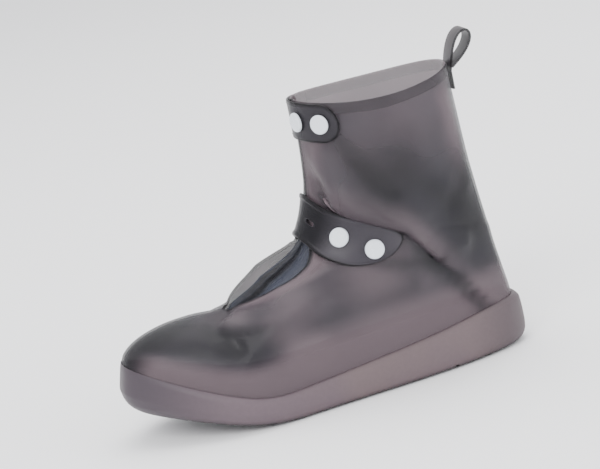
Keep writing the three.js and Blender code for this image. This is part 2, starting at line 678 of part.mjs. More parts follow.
// A cut across the tread, between two places along the flat sole, with a depth at each.
function cutSolid(front, back, length, frontDepth, backDepth) {
  const corners = (x, z) => [-1, 1].map((side) => springToe(new THREE.Vector3(x, (side * length) / 2, z)));
  const facets = new Facets();
  const below = -TREAD_DEPTH;
  const ring = [[front, below], [back, below], [back, backDepth], [front, frontDepth]];
  const pairs = ring.map(([x, z]) => corners(x, z).map((corner) => facets.point(corner)));
  facets.quad(...pairs.map((pair) => pair[0]));
  facets.quad(...pairs.map((pair) => pair[1]).reverse());
  pairs.forEach((from, i) => {
    const to = pairs[(i + 1) % pairs.length];
    facets.quad(to[0], from[0], from[1], to[1]);
  });
  return facets.solid();
}

const heelX = SOLE_LENGTH / 2;
const breastX = heelX - HEEL_BREAST;
const treadFrontX = alongSole(TREAD_START) + TREAD_PITCH;
let outsole = soleSolid();
const grooves = [
  ...Array.from({ length: TREAD_FRONT_COUNT }, (_, i) => treadFrontX + i * TREAD_PITCH),
  ...Array.from({ length: TREAD_HEEL_COUNT }, (_, i) => breastX + (i + 1) * TREAD_PITCH),
];
const cutAt = (place, length, depth) =>
  cutSolid(place - TREAD_GROOVE / 2, place + TREAD_GROOVE / 2, length, depth, depth);
for (const place of grooves) outsole = outsole.subtract(cutAt(place, TREAD_WIDTH, TREAD_DEPTH));
const wholeWidth = BALL_WIDTH + 4 * SOLE_BULGE;
outsole = outsole.subtract(cutSolid(breastX - WAIST_LENGTH, breastX, wholeWidth, 0, WAIST_RISE));
outsole = outsole.subtract(cutAt(breastX, wholeWidth, HEEL_NOTCH_DEPTH));

// Gusset
function gussetSolid() {
  const under = WALL + GUSSET_GAP;
  const widest = openingAt("outer", OPENING_ROWS[3].level);
  const places = [
    { place: -1, past: 1, depth: 0 },
    { place: -1, past: 0, depth: 0 },
    ...GUSSET_ROWS_ACROSS.map((row) => ({ ...row, past: 0 })),
    { place: 1, past: 0, depth: 0 },
    { place: 1, past: 1, depth: 0 },
  ];
  const outerRows = [];
  const innerRows = [];
  for (const level of GUSSET_LEVELS) {
    const openShare = clamp(openingAt("outer", level) / widest, 0, 1) * (level > THROAT ? 1 : 0);
    const spots = places.map(({ place, past, depth }) => {
      const side = place < 0 ? "inner" : "outer";
      const margin = (past * GUSSET_MARGIN) / sectionWidths(level)[0];
      const slack = GUSSET_LEAST_HALF / sectionWidths(level)[0];
      const half = Math.max(openingTurn(side, level), slack);
      const turn = place * half + Math.sign(place) * margin;
      return { turn, out: -Math.max(under, lerp(under, depth * COLLAR_WIDTH, openShare)) };
    });
    const rows = [0, GUSSET_WALL].map((inward) =>
      spots.map(({ turn, out }) => springToe(besideUpper(level, turn, out - inward))),
    );
    outerRows.push(rows[0]);
    innerRows.push(rows[1]);
  }
  return sheetSolid(outerRows, innerRows);
}

// A line laid round the shaft's front: the turn by the length from the front, measured on the plain upper.
function laidLine(measure, value) {
  const turns = Array.from({ length: LAY_STEPS + 1 }, (_, i) => lerp(-LAY_REACH, LAY_REACH, i / LAY_STEPS));
  const points = turns.map((turn) => plainPoint(levelWhere(turn, measure, value), turn));
  const lengths = [0];
  for (let i = 1; i <= LAY_STEPS; i++) lengths.push(lengths[i - 1] + points[i].distanceTo(points[i - 1]));
  const fromFront = lengths.map((length) => length - lengths[LAY_STEPS / 2]);
  return {
    turnAt: (length) => curve(fromFront, turns, length),
    pointAt: (length) => curve(fromFront, column(points, "x"), length),
  };
}

// A place on a laid band: along it from the front, across it from its middle, and out from the upper.
function laidPlace(lay, length, across, out) {
  const run = lay.line.pointAt(length + LAY_NEAR) - lay.line.pointAt(length - LAY_NEAR);
  const slope = (lay.slope * run) / (2 * LAY_NEAR);
  const turn = lay.line.turnAt(length + across * slope);
  return besideUpper(levelWhere(turn, lay.measure, lay.value + across), turn, out);
}

const strapLay = { measure: strapMeasure, value: 0, slope: STRAP_SLOPE, line: laidLine(strapMeasure, 0) };
const tabMiddle = -(TAB_BELOW_RIM + TAB_HEIGHT / 2);
const tabLay = { measure: rimMeasure, value: tabMiddle, slope: 0, line: laidLine(rimMeasure, tabMiddle) };

// A band laid over the upper with rounded ends. Its stations along it each have a half width.
function bandStations({ from, to, fromWidth, toWidth, fromRound, toRound, pitch }) {
  const stations = [];
  const halfAt = (length) => lerp(fromWidth, toWidth, (length - from) / (to - from)) / 2;
  for (const angle of ROUND_ANGLES) {
    const half = halfAt(from);
    const cornerShare = Math.cos(degToRad(angle));
    const length = from + fromRound * (1 - Math.sin(degToRad(angle)));
    stations.push({ length, half: half - fromRound * (1 - cornerShare) });
  }
  const steps = Math.round((to - toRound - from - fromRound) / pitch);
  for (let i = 0; i <= steps; i++) {
    const length = lerp(from + fromRound, to - toRound, i / steps);
    stations.push({ length, half: halfAt(length) });
  }
  for (const angle of ROUND_ANGLES.toReversed()) {
    const half = halfAt(to);
    const cornerShare = Math.cos(degToRad(angle));
    const length = to - toRound * (1 - Math.sin(degToRad(angle)));
    stations.push({ length, half: half - toRound * (1 - cornerShare) });
  }
  return stations;
}

// The band's cross section: shares of the half width less an inset, and the thickness there.
function bandSolid(lay, stations, crossSection) {
  const face = ({ share, inset }, out) =>
    stations.map(({ length, half }) => {
      const inside = Math.max(half - inset, BAND_LEAST * half);
      return laidPlace(lay, length, share * inside, out);
    });
  return sheetSolid(
    crossSection.map((row) => face(row, LAID_GAP + row.thickness)),
    crossSection.map((row) => face(row, LAID_GAP)),
  );
}

const strapStations = bandStations({
  from: -STRAP_INNER_REACH,
  to: STRAP_OUTER_REACH,
  fromWidth: STRAP_END_WIDTH,
  toWidth: STRAP_END_WIDTH,
  fromRound: STRAP_END_WIDTH / 2,
  toRound: STRAP_END_WIDTH / 2,
  pitch: STRAP_PITCH,
}).map(({ length, half }) => {
  const waist = 1 - smoothstep(Math.abs(length), STRAP_WAIST_FROM, STRAP_WAIST_TO);
  return { length, half: half * lerp(1, STRAP_WIDTH / STRAP_END_WIDTH, waist) };
});
const strapSection = [
  { share: -1, inset: 0, thickness: STRAP_THICKNESS },
  { share: -1, inset: STRAP_BORDER, thickness: STRAP_THICKNESS },
  { share: -1, inset: STRAP_BORDER + STRAP_BORDER_SLOPE, thickness: STRAP_FIELD },
  { share: 0, inset: 0, thickness: STRAP_FIELD },
  { share: 1, inset: STRAP_BORDER + STRAP_BORDER_SLOPE, thickness: STRAP_FIELD },
  { share: 1, inset: STRAP_BORDER, thickness: STRAP_THICKNESS },
  { share: 1, inset: 0, thickness: STRAP_THICKNESS },
];
const tabStations = bandStations({
  from: -TAB_INNER_REACH,
  to: TAB_OUTER_REACH,
  fromWidth: TAB_HEIGHT,
  toWidth: TAB_HEIGHT,
  fromRound: TAB_ROOT_ROUND,
  toRound: TAB_HEIGHT / 2,
  pitch: TAB_PITCH,
});
const tabSection = [-1, -0.5, 0, 0.5, 1].map((share) => ({ share, inset: 0, thickness: TAB_THICKNESS }));

// Snaps: each has a cap with a post through the band and the wall, and a base ring inside.
const snapPair = (endSnap, pitch) => [endSnap - pitch, endSnap];
const strapSnaps = snapPair(STRAP_OUTER_REACH - STRAP_END_TO_SNAP, STRAP_SNAP_PITCH);
const tabSnaps = snapPair(TAB_OUTER_REACH - TAB_END_TO_SNAP, TAB_SNAP_PITCH);
const snaps = [
  { name: "strap_snap", places: strapSnaps, lay: strapLay, face: LAID_GAP + STRAP_FIELD },
  { name: "collar_snap", places: tabSnaps, lay: tabLay, face: LAID_GAP + TAB_THICKNESS },
].flatMap(({ name, places, lay, face }) =>
  places.map((length, i) => {
    const place = laidPlace(lay, length, 0, 0);
    const axis = laidPlace(lay, length, 0, 1).sub(place).normalize();
    return { name, end: i === 0 ? "front" : "back", lay, face, place, axis };
  }),
);

function capSolid({ face, place, axis }) {
  const seat = face + CAP_SEAT;
  const top = seat + CAP_THICKNESS;
  const postEnd = -(WALL + BASE_SEAT + BASE_THICKNESS / 2);
  const profile = [
    { radius: 0, height: postEnd },
    { radius: POST_RADIUS, height: postEnd },
    { radius: POST_RADIUS, height: seat },
    { radius: CAP_RADIUS, height: seat },
    { radius: CAP_RADIUS, height: top - CAP_BEVEL },
    { radius: CAP_RADIUS - CAP_BEVEL, height: top },
    { radius: 0, height: top },
  ];
  return turnedSolid(profile, place, axis);
}

function snapBaseSolid({ place, axis }) {
  const top = -(WALL + BASE_SEAT);
  const hole = POST_RADIUS + CLEARANCE;
  const profile = [
    { radius: hole, height: top - BASE_THICKNESS },
    { radius: BASE_RADIUS, height: top - BASE_THICKNESS },
    { radius: BASE_RADIUS, height: top },
    { radius: hole, height: top },
  ];
  return turnedSolid(profile, place, axis);
}

let upper = upperSolid();
let strap = bandSolid(strapLay, strapStations, strapSection);
let tab = bandSolid(tabLay, tabStations, tabSection);
for (const snap of snaps) {
  const hole = pinSolid(POST_RADIUS + CLEARANCE, -2 * WALL, snap.face + WALL, snap.place, snap.axis);
  upper = upper.subtract(hole);
  if (snap.lay === strapLay) strap = strap.subtract(hole);
  else tab = tab.subtract(hole);
}

// The slot at the strap's front, with round ends.
const slotPlace = laidPlace(strapLay, STRAP_SLOT_PLACE, 0, 0);
const slotAxis = laidPlace(strapLay, STRAP_SLOT_PLACE, 0, 1).sub(slotPlace).normalize();
const slotAlong = laidPlace(strapLay, STRAP_SLOT_PLACE + 1, 0, 0).sub(slotPlace).normalize();
const slotEnds = [-1, 1].map((side) =>
  slotPlace.clone().addScaledVector(slotAlong, (side * (STRAP_SLOT_LENGTH - STRAP_SLOT_WIDTH)) / 2),
);
const slotReach = 3 * STRAP_THICKNESS;
const slotPins = slotEnds.map((end) => pinSolid(STRAP_SLOT_WIDTH / 2, -WALL, slotReach, end, slotAxis));
strap = strap.subtract(wasm.Manifold.hull(slotPins));

// Pull loop
// Side view: a leaning drop-shaped eye with a wall round it and a tail down the collar's back.
function loopSolid() {
  const wallX = collarBackX + HEM_THICKNESS + CLEARANCE;
  const foot = new THREE.Vector2(wallX + LOOP_THICKNESS / 2, COLLAR_HEIGHT - LOOP_FOOT);
  const lean = new THREE.Vector2(LOOP_LEAN, LOOP_RISE);
  const length = lean.length();
  const up = lean.clone().normalize();
  const side = new THREE.Vector2(up.y, -up.x);
  const dropPoint = (t, wall) => {
    const along = ((length - 2 * wall) * (1 - Math.cos(t))) / 2 + wall;
    const belly = (LOOP_BELLY + LOOP_THICKNESS - wall) * LOOP_FULLNESS;
    const across = belly * Math.sin(t) * Math.sin(t / 2) ** LOOP_POINT;
    return foot.clone().addScaledVector(up, along).addScaledVector(side, across);
  };
  const drop = (wall, from, to) =>
    Array.from({ length: LOOP_STEPS + 1 }, (_, i) => {
      const share = lerp(from, to, i / LOOP_STEPS);
      return dropPoint(2 * Math.PI * share, wall);
    });
  // The outline stops short of the foot, where the tail joins it.
  const outline = drop(0, 0.97, 0.05);
  const tailFoot = COLLAR_HEIGHT - LOOP_TAIL;
  const tail = [
    new THREE.Vector2(wallX + LOOP_THICKNESS, foot.y),
    new THREE.Vector2(wallX + LOOP_THICKNESS, tailFoot),
    new THREE.Vector2(wallX, tailFoot),
    new THREE.Vector2(wallX, foot.y),
  ];
  const shape = new THREE.Shape([...outline, ...tail]);
  const eye = drop(LOOP_THICKNESS, 0, 1).slice(0, LOOP_STEPS);
  shape.holes.push(new THREE.Path(eye));
  const geometry = new THREE.ExtrudeGeometry(shape, { depth: LOOP_WIDTH, bevelEnabled: false });
  geometry.rotateX(Math.PI / 2);
  geometry.translate(0, LOOP_WIDTH / 2, 0);
  return geometry;
}

// Materials and assembly
const rubber = (name, color, roughness) =>
  new THREE.MeshStandardMaterial({ name, color, roughness, metalness: 0, flatShading: true });
const UPPER_RUBBER = rubber("smoke_rubber", "#6a666c", 0.35);
const SOLE_RUBBER = rubber("sole_rubber", "#85797c", 0.4);
const FITTING_RUBBER = rubber("strap_rubber", "#5c585c", 0.35);
const SNAP_PLASTIC = rubber("snap_plastic", "#e6eaf2", 0.3);

function geometryOf(solid) {
  const mesh = solid.getMesh();
  const geometry = new THREE.BufferGeometry();
  geometry.setAttribute("position", new THREE.BufferAttribute(new Float32Array(mesh.vertProperties), 3));
  geometry.setIndex(new THREE.BufferAttribute(new Uint32Array(mesh.triVerts), 1));
  geometry.computeVertexNormals();
  return geometry;
}

const group = new THREE.Group();
group.name = "overshoe";
function addPiece(name, geometry, material) {
  const piece = new THREE.Mesh(geometry, material);
  piece.name = name;
  group.add(piece);
}

addPiece("outsole", geometryOf(outsole), SOLE_RUBBER);
addPiece("upper", geometryOf(upper), UPPER_RUBBER);
addPiece("gusset", geometryOf(gussetSolid()), UPPER_RUBBER);
addPiece("instep_strap", geometryOf(strap), FITTING_RUBBER);
addPiece("collar_tab", geometryOf(tab), FITTING_RUBBER);
addPiece("pull_loop", loopSolid(), FITTING_RUBBER);
for (const snap of snaps) {
  addPiece(`${snap.name}_cap_${snap.end}`, geometryOf(capSolid(snap)), SNAP_PLASTIC);
  addPiece(`${snap.name}_base_${snap.end}`, geometryOf(snapBaseSolid(snap)), SNAP_PLASTIC);
}

// The origin is the bottom centre of the whole box.
const box = new THREE.Box3().setFromObject(group);
const middle = box.getCenter(new THREE.Vector3());
for (const piece of group.children) piece.geometry.translate(-middle.x, -middle.y, -box.min.z);

export default group;
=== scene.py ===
"""A see-through rubber overshoe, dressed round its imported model.

Named sizes are millimetres where no comment says otherwise, drawn with a flat sole and the toe towards -X. Tables
hold shares of those sizes, and places and turns as their comments say. A place on the upper has a level, which counts
the section rows upwards, and a turn, the angle round the section in radians: 0 at the front, positive over the outer
side and pi at the heel. The meshes are metres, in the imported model's frame.
"""

import math

import bmesh
import bpy
import numpy as np
from bpy.props import FloatProperty, FloatVectorProperty, IntProperty, PointerProperty
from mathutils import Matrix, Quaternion, Vector


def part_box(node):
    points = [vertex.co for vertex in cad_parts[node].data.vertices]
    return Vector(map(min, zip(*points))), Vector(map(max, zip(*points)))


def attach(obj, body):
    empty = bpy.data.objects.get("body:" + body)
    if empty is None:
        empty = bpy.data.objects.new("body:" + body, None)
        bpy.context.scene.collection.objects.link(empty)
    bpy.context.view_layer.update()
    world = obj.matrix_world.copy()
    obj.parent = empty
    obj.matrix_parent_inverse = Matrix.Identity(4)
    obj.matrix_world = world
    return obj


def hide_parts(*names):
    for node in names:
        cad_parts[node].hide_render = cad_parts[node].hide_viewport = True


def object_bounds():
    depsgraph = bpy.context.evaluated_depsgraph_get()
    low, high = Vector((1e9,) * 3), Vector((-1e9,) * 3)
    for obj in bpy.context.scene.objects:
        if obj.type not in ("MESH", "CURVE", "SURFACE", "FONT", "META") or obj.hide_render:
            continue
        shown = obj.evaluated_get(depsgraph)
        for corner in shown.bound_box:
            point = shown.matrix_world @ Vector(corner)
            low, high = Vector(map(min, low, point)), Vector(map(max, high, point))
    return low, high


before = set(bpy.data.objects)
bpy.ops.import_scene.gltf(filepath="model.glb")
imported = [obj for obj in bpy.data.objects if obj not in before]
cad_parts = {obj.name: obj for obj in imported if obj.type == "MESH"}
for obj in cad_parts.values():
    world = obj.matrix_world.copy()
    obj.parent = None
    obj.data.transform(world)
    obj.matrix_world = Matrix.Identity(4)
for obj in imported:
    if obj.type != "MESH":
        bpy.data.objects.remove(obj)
cad_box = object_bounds()

bl_info = {
    "name": "Rubber overshoe",
    "version": (1, 0, 0),
    "blender": (4, 5, 0),
    "location": "3D View > Sidebar > Overshoe",
    "description": "Builds a see-through rubber overshoe piece by piece round its packed model",
    "category": "Add Mesh",
}

MM = 0.001

# Overall sizes, as in the solids
SOLE_LENGTH = 301
BALL_WIDTH = 104
THROAT_HEIGHT = 75.5
COLLAR_HEIGHT = 215
COLLAR_WIDTH = 94
COLLAR_DEPTH = 115
COLLAR_DIP = 5
DIP_LEVELS = 5
TOE_INWARD = 7
TOE_SPRING = math.radians(14)
BREAK_PLACE = 176
BREAK_LENGTH = 50
WALL = 1.6
CLEARANCE = 0.35
LAID_GAP = 0.9
HEM_HEIGHT = 8.5
HEM_THICKNESS = 0.5
LIP_SPREAD = 0.34

# Gusset
GUSSET_WALL = 1.2
GUSSET_GAP = 1.2
GUSSET_MARGIN = 5

# Sole
TOE_BAND = 35.5
SOLE_BULGE = 6
SOLE_EDGE_RADIUS = 9
SOLE_FLOOR = 6
SOLE_COVE = 7
TUCK = 5
TREAD_DEPTH = 2.2
TREAD_GROOVE = 3.4
TREAD_PITCH = 13
TREAD_WIDTH = 62
TREAD_FRONT_COUNT = 10
TREAD_HEEL_COUNT = 3
HEEL_BREAST = 60
HEEL_NOTCH_DEPTH = 3.4
WAIST_RISE = 2
WAIST_LENGTH = 80

# Instep strap and collar tab
STRAP_WIDTH = 31
STRAP_END_WIDTH = 36
STRAP_THICKNESS = 2.2
STRAP_FIELD = 1.6
STRAP_EDGE_RADIUS = 1
STRAP_BORDER_SLOPE = (2.6, 3.7)  # from the edge, where the raised border falls to the field
STRAP_SHADE = (20, 44)  # from the front, where its shade fades
STRAP_WAIST = (20, 52)  # from the front, where its narrow part widens
STRAP_HEIGHT = 131
STRAP_SLOPE = 0.58
STRAP_DROP = 5.5
STRAP_DROP_TURN = 0.8
STRAP_OUTER_REACH = 79.5
STRAP_INNER_REACH = 66
STRAP_SLOT_PLACE = 14
STRAP_SLOT_LENGTH = 9
STRAP_SLOT_WIDTH = 3.2
TAB_HEIGHT = 28
TAB_THICKNESS = 2
TAB_EDGE_RADIUS = 0.8
TAB_BELOW_RIM = 0.6
TAB_OUTER_REACH = 45.5
TAB_INNER_REACH = 30
TAB_LINE = 0.25  # height of the fine line along the tab's edge
TAB_LINE_PLACE = 2.6
TAB_LINE_REACH = 0.35
TAB_SHADE = 0.5

# Snap fasteners
CAP_RADIUS = 7
CAP_THICKNESS = 1.9
CAP_SEAT = 0.7
POST_RADIUS = 2
BASE_RADIUS = 4.8
BASE_THICKNESS = 1.5
BASE_SEAT = 0.7
CAP_BEVEL = 1.1
CAP_DISH = 0.3
BASE_BEVEL = 0.4
BASE_DISH = 0.2
PIN_STUB = 0.4
STRAP_END_TO_SNAP = 14.5
STRAP_SNAP_PITCH = 25
TAB_END_TO_SNAP = 14
TAB_SNAP_PITCH = 21
LAST_STRAP_SNAP = STRAP_OUTER_REACH - STRAP_END_TO_SNAP
LAST_TAB_SNAP = TAB_OUTER_REACH - TAB_END_TO_SNAP
STRAP_SNAPS = (LAST_STRAP_SNAP - STRAP_SNAP_PITCH, LAST_STRAP_SNAP)
TAB_SNAPS = (LAST_TAB_SNAP - TAB_SNAP_PITCH, LAST_TAB_SNAP)

# Pull loop
LOOP_WIDTH = 18
LOOP_THICKNESS = 1.8
LOOP_FOOT = 7
LOOP_RISE = 26
LOOP_LEAN = 18
LOOP_BELLY = 4.6
LOOP_TAIL = 21
LOOP_FULLNESS = 1.3  # widens the drop so that its eye reaches the belly
LOOP_POINT = 1.2  # how sharply the drop narrows to its foot
LOOP_EDGE = 0.7

# How the folds fade: towards the rim, towards the sole, and where the strap, as a share of its half width, and the
# tab, as a share of its height, press them flat
RIM_CALM = 0.8
RIM_CALM_LEVELS = 0.9
SOLE_CALM_LEVELS = 1.2
PRESS_SPREAD = 0.6
PRESS_FADE = 30  # millimetres behind the strap's end
TAB_PRESS_SPREAD = 0.5
TAB_PRESS_FADE = 20  # millimetres behind the tab's end
LIP_PRESS_SPREAD = 0.16

# Steps, in levels and radians, for the slope of the plain and the folded surface
NORMAL_STEP = 0.02
FOLDED_STEP = 0.03
HALVINGS = 26  # of the span in which a level is looked for

# Stage, in metres, radians and watts: lamps stand off the overshoe's middle, each with its place, size and power
CAMERA_DISTANCE = 1.79
CAMERA_AZIMUTH = math.radians(-12)
CAMERA_ELEVATION = math.radians(14)
CAMERA_ROLL = math.radians(12.3)
CAMERA_LENS = 150
SENSOR_WIDTH = 36
FLOOR_REACH = 30
WORLD_COLOUR = (0.97, 0.975, 1.0, 1.0)
WORLD_STRENGTH = 1.45
LAMPS = (
    ("key_softbox", (-1.0, -1.5, 1.5), 1.2, 36),
    ("fill_softbox", (1.6, -1.1, 0.9), 1.4, 12),
    ("top_softbox", (0.2, 0.5, 1.9), 1.6, 34),
    ("back_softbox", (1.1, 1.5, 1.0), 0.9, 3),
)

# The sole's side by place from the toe: height is a share of the toe's band, bulge of the sole's bulge.
BAND = {
    "place": (0, 0.06, 0.2, 0.32, 0.48, 0.63, 0.78, 0.92, 1),
    "height": (1, 0.88, 0.66, 0.565, 0.625, 0.73, 0.85, 0.99, 1.025),
    "bulge": (0.12, 0.35, 0.8, 1, 0.95, 0.9, 0.9, 0.95, 1),
    "radius": (3, 2.5, 1.6, 1.1, 1, 1, 1, 1.2, 1.4),
}

# The sole's side from its foot up to its top edge. How far out: a share of the bulge, less a share of the lower edge's
# radius. How high: shares of the band's height and of the lower edge, less a share of the shoulder.
SIDE = {
    "bulge": (1, 1, 1, 1, 1, 0.9, 0.68, 0.36, 0),
    "radius": (1, 0.5, 0.18, 0.03, 0, 0, 0, 0, 0),
    "height": (0, 0, 0, 0, 0.52, 1, 1, 1, 1),
    "low": (0, 0.12, 0.4, 0.8, 0, 0, 0, 0, 0),
    "shoulder": (0, 0, 0, 0, 0, 0.6, 0.26, 0.05, 0),
}

# Section rows of the foot, from the sole's edge up to the foot of the opening
FOOT = {
    "front": (0, 0.006, 0.024, 0.054, 0.098, 0.158, 0.234),
    "back": (1, 0.997, 0.993, 0.989, 0.985, 0.982, 0.98),
    "front_up": (0, 0.155, 0.33, 0.5, 0.67, 0.82, 1),
    "back_up": (0.022, 0.24, 0.46, 0.68, 0.9, 1.11, 1.32),
    "follow": (1, 0.84, 0.66, 0.44, 0.24, 0.1, 0),
    "square": (0.22, 0.22, 0.2, 0.18, 0.15, 0.11, 0.07),
    "toe": (0.47, 0.465, 0.46, 0.445, 0.42, 0.395, 0.375),
    "fore": (0.53, 0.53, 0.52, 0.5, 0.47, 0.44, 0.415),
    "middle": (0.415, 0.415, 0.41, 0.405, 0.4, 0.395, 0.395),
    "rear": (0.385, 0.385, 0.38, 0.375, 0.37, 0.37, 0.37),
    "heel": (0.375, 0.375, 0.37, 0.37, 0.37, 0.37, 0.37),
}
# Section rows of the shaft, up to the rim
SHAFT = {
    "front": (0.2, 0.415, 0.63, 0.79, 0.89, 0.955, 0.984, 0.997, 1),
    "back": (0.977, 0.973, 0.969, 0.965, 0.961, 0.958, 0.955, 0.952, 0.949),
    "front_up": (0.062, 0.125, 0.19, 0.262, 0.37, 0.508, 0.665, 0.838, 1),
    "back_up": (0.13, 0.205, 0.285, 0.366, 0.457, 0.558, 0.695, 0.846, 1),
    "square": (0.04, 0.02, 0, 0, 0, 0, 0, 0, 0),
    "toe": (0.405, 0.4, 0.395, 0.395, 0.4, 0.42, 0.45, 0.48, 0.5),
    "fore": (0.44, 0.435, 0.43, 0.43, 0.435, 0.45, 0.47, 0.485, 0.5),
    "middle": (0.435, 0.44, 0.445, 0.45, 0.455, 0.465, 0.478, 0.49, 0.5),
    "rear": (0.41, 0.41, 0.41, 0.415, 0.42, 0.435, 0.455, 0.475, 0.49),
    "heel": (0.41, 0.41, 0.41, 0.415, 0.42, 0.43, 0.45, 0.47, 0.49),
}
WIDTHS = ("toe", "fore", "middle", "rear", "heel")
THROAT = len(FOOT["front"]) - 1
RIM = THROAT + len(SHAFT["front"])

# The front opening by level: half gaps and how far the lips stand out, as shares of the collar's width
OPENING = {
    "level": (6, 6.4, 7, 7.8, 8.6, 9.3, 9.8, 11, 11.8, 12.5, 15),
    "outer": (0, 0.12, 0.22, 0.3, 0.3, 0.26, 0.22, 0.11, 0.04, 0.01, 0.01),
    "inner": (0, 0.1, 0.19, 0.26, 0.26, 0.22, 0.19, 0.1, 0.04, 0.01, 0.01),
    "outer_lift": (0, 0.006, 0.016, 0.02, 0.012, 0, 0, 0, 0, 0, 0),
    "inner_lift": (0, 0.03, 0.058, 0.068, 0.05, 0.024, 0.012, 0, 0, 0, 0),
}

# Folds of the upper, as in the solids: from a level and turn in degrees, to a level and turn, with the rise and the
# half width as shares of the collar's width
FOLDS = (
    ("ankle crease outer", 12.3, 24, 5.2, 124, -0.05, 0.085),
    ("ankle roll outer", 13.2, 30, 6.4, 136, 0.042, 0.1),
    ("tab valley outer", 13.9, 46, 11.6, 82, -0.034, 0.085),
    ("shaft ridge outer", 14.3, 84, 11, 122, 0.026, 0.11),
    ("shaft valley outer", 12.6, 92, 9.6, 128, -0.026, 0.09),
    ("back ridge outer", 14.2, 138, 10.4, 146, 0.024, 0.1),
    ("vamp crease outer", 6, 10, 3.4, 52, -0.032, 0.08),
    ("vamp roll outer", 4.6, 62, 2.6, 84, 0.02, 0.12),
    ("ankle crease inner", 12.1, -30, 5.4, -122, -0.034, 0.09),
    ("ankle roll inner", 13, -40, 6.8, -134, 0.028, 0.1),
    ("shaft valley inner", 13.8, -56, 11.8, -92, -0.022, 0.09),
    ("shaft ridge inner", 14.2, -100, 10.8, -120, 0.02, 0.11),
    ("vamp crease inner", 6, -12, 3.6, -50, -0.024, 0.08),
)
# Finer creases, which the solids leave out
CREASES = (
    ("ankle pinch", 11.2, 40, 7.6, 96, -0.014, 0.026),
    ("ankle pinch edge", 11.8, 44, 8.4, 104, 0.01, 0.03),
    ("tab pull", 13.3, 50, 10.6, 76, 0.008, 0.03),
    ("calf crease", 13.2, 96, 11.2, 112, -0.008, 0.03),
    ("heel wrinkle", 8.4, 118, 7.4, 150, -0.008, 0.03),
    ("heel wrinkle low", 7.2, 112, 6, 140, 0.007, 0.03),
    ("vamp pinch", 5.9, 14, 4.2, 40, -0.01, 0.03),
    ("vamp side", 4.9, 44, 3.2, 58, 0.008, 0.035),
    ("ankle pinch inner", 11, -44, 7.8, -98, -0.012, 0.028),
    ("calf crease inner", 13, -98, 11, -116, -0.008, 0.03),
    ("heel wrinkle inner", 8.2, -118, 7.2, -148, -0.008, 0.03),
)
FOLD_STEPS = 10

# The roll in which the shaft hangs over the strap's top edge: above is the distance over that edge along the upper,
# out how far the upper stands out there, and down how far it has slid down
ROLL = {
    "above": (0.5, 1.5, 2.5, 3.5, 5, 6.5, 8, 10, 14, 20, 28, 36),
    "out": (0, 1.8, 3.1, 4, 4.9, 6, 6.6, 6.6, 5.4, 3.2, 1.2, 0),
    "down": (0, 0.3, 1.4, 3, 5.6, 7, 7.2, 6.6, 4.6, 2.2, 0.6, 0),
}
ROLL_DROP = 0.8  # how much steeper than the strap the roll falls behind it
ROLL_LEAD = 6  # where it starts to, before the strap's round end
ROLL_START = (0.15, 0.95)  # the turn from the front over which the roll rises
ROLL_END = (4, 66)  # the stretch past the strap's round end over which it fades
ROLL_INNER = 0.75  # its size on the inner side
ROLL_SLIDE = 1.6  # how much later it slides down than it stands out

# What darkens and what lightens the upper: fold lines, with an amount and a half width in millimetres, and spots,
# each with an amount, a level, a turn in degrees and a half width. Along fold valleys the darkening is painted shade,
# and along fold ridges the lightening is painted highlight. Areas have an amount, the turn away from the front, the
# opening's edge or the heel over which they fade, and the levels over which they begin and end.
# Painted shade along the fold valleys and creases
CREASE_SHADE_LINES = {
    "tab valley outer": (0.6, 7),
    "ankle crease outer": (0.45, 6),
    "shaft valley outer": (0.4, 9),
    "vamp crease outer": (0.35, 8),
    "shaft valley inner": (0.6, 9),
    "ankle crease inner": (0.4, 7),
    "vamp crease inner": (0.4, 10),
}
DARK_AREAS = {"toe band": (0.7, (0.9, 1.35), (1.8, 2.8), (4.4, 5.6)), "toe tip": (0.9, (0.15, 0.5), None, (3.5, 5))}
DARK_SPOTS = ((0.7, 12.4, 78, 30), (0.5, 7.8, 145, 20), (0.9, 8.4, 172, 36), (0.8, 10.4, 165, 26))
# Painted highlights along the fold ridges
RIDGE_HIGHLIGHT_LINES = {"back ridge outer": (0.9, 9), "vamp roll outer": (0.5, 12), "shaft ridge inner": (0.5, 10)}
LIGHT_AREAS = {"collar front": (0.75, (0.4, 0.75), (10.2, 11), None)}
# Painted light coming through the sheet beside the opening's lips
LIP_BACKLIGHT_AREA = (0.9, (0.05, 0.4), (6.2, 6.8), (9.6, 10.4))
# Painted shade down the heel's back, between the sole and the rim
HEEL_SHADE_AREA = (0.85, (0.15, 0.6), (2.4, 3.6), (10.5, 13))
PALE_AREAS = {"rim": (1, None, (11, 13), None), "far lip": (1, (0.7, 1.1), (6, 6.5), None)}
LIGHT_SPOTS = ((0.6, 6.4, 60, 20), (0.75, 7, 92, 30), (0.6, 5.6, 28, 22))

# The gusset's depth across the opening, inner side negative, with a raised pleat down its middle
PLEAT = {
    "place": (-1, -0.8, -0.5, -0.27, -0.22, -0.1, 0.1, 0.22, 0.27, 0.5, 0.8, 1),
    "depth": (0, 0.05, 0.075, 0.08, 0.035, 0.022, 0.022, 0.035, 0.08, 0.075, 0.05, 0),
}


def curve(places, values, at):
    """A smooth curve through a table's values; values may hold one column for each place asked for."""
    places = np.asarray(places, float)
    values = np.asarray(values, float)
    last = len(places) - 1
    at = np.clip(at, places[0], places[-1])
    i = np.clip(np.searchsorted(places, at, side="right") - 1, 0, last - 1)
    before = np.maximum(i - 1, 0)
    after = np.minimum(i + 2, last)

    def value(row):
        if values.ndim == 1:
            return values[row]
        return np.take_along_axis(values, row[None], axis=0)[0]

    step = places[i + 1] - places[i]
    rise = value(i + 1) - value(i)
    slope_in = step * (value(i + 1) - value(before)) / (places[i + 1] - places[before])
    slope_out = step * (value(after) - value(i)) / (places[after] - places[i])
    t = (at - places[i]) / step
    cubic = slope_in + slope_out - 2 * rise
    return value(i) + t * (slope_in + t * (3 * rise - 2 * slope_in - slope_out + t * cubic))


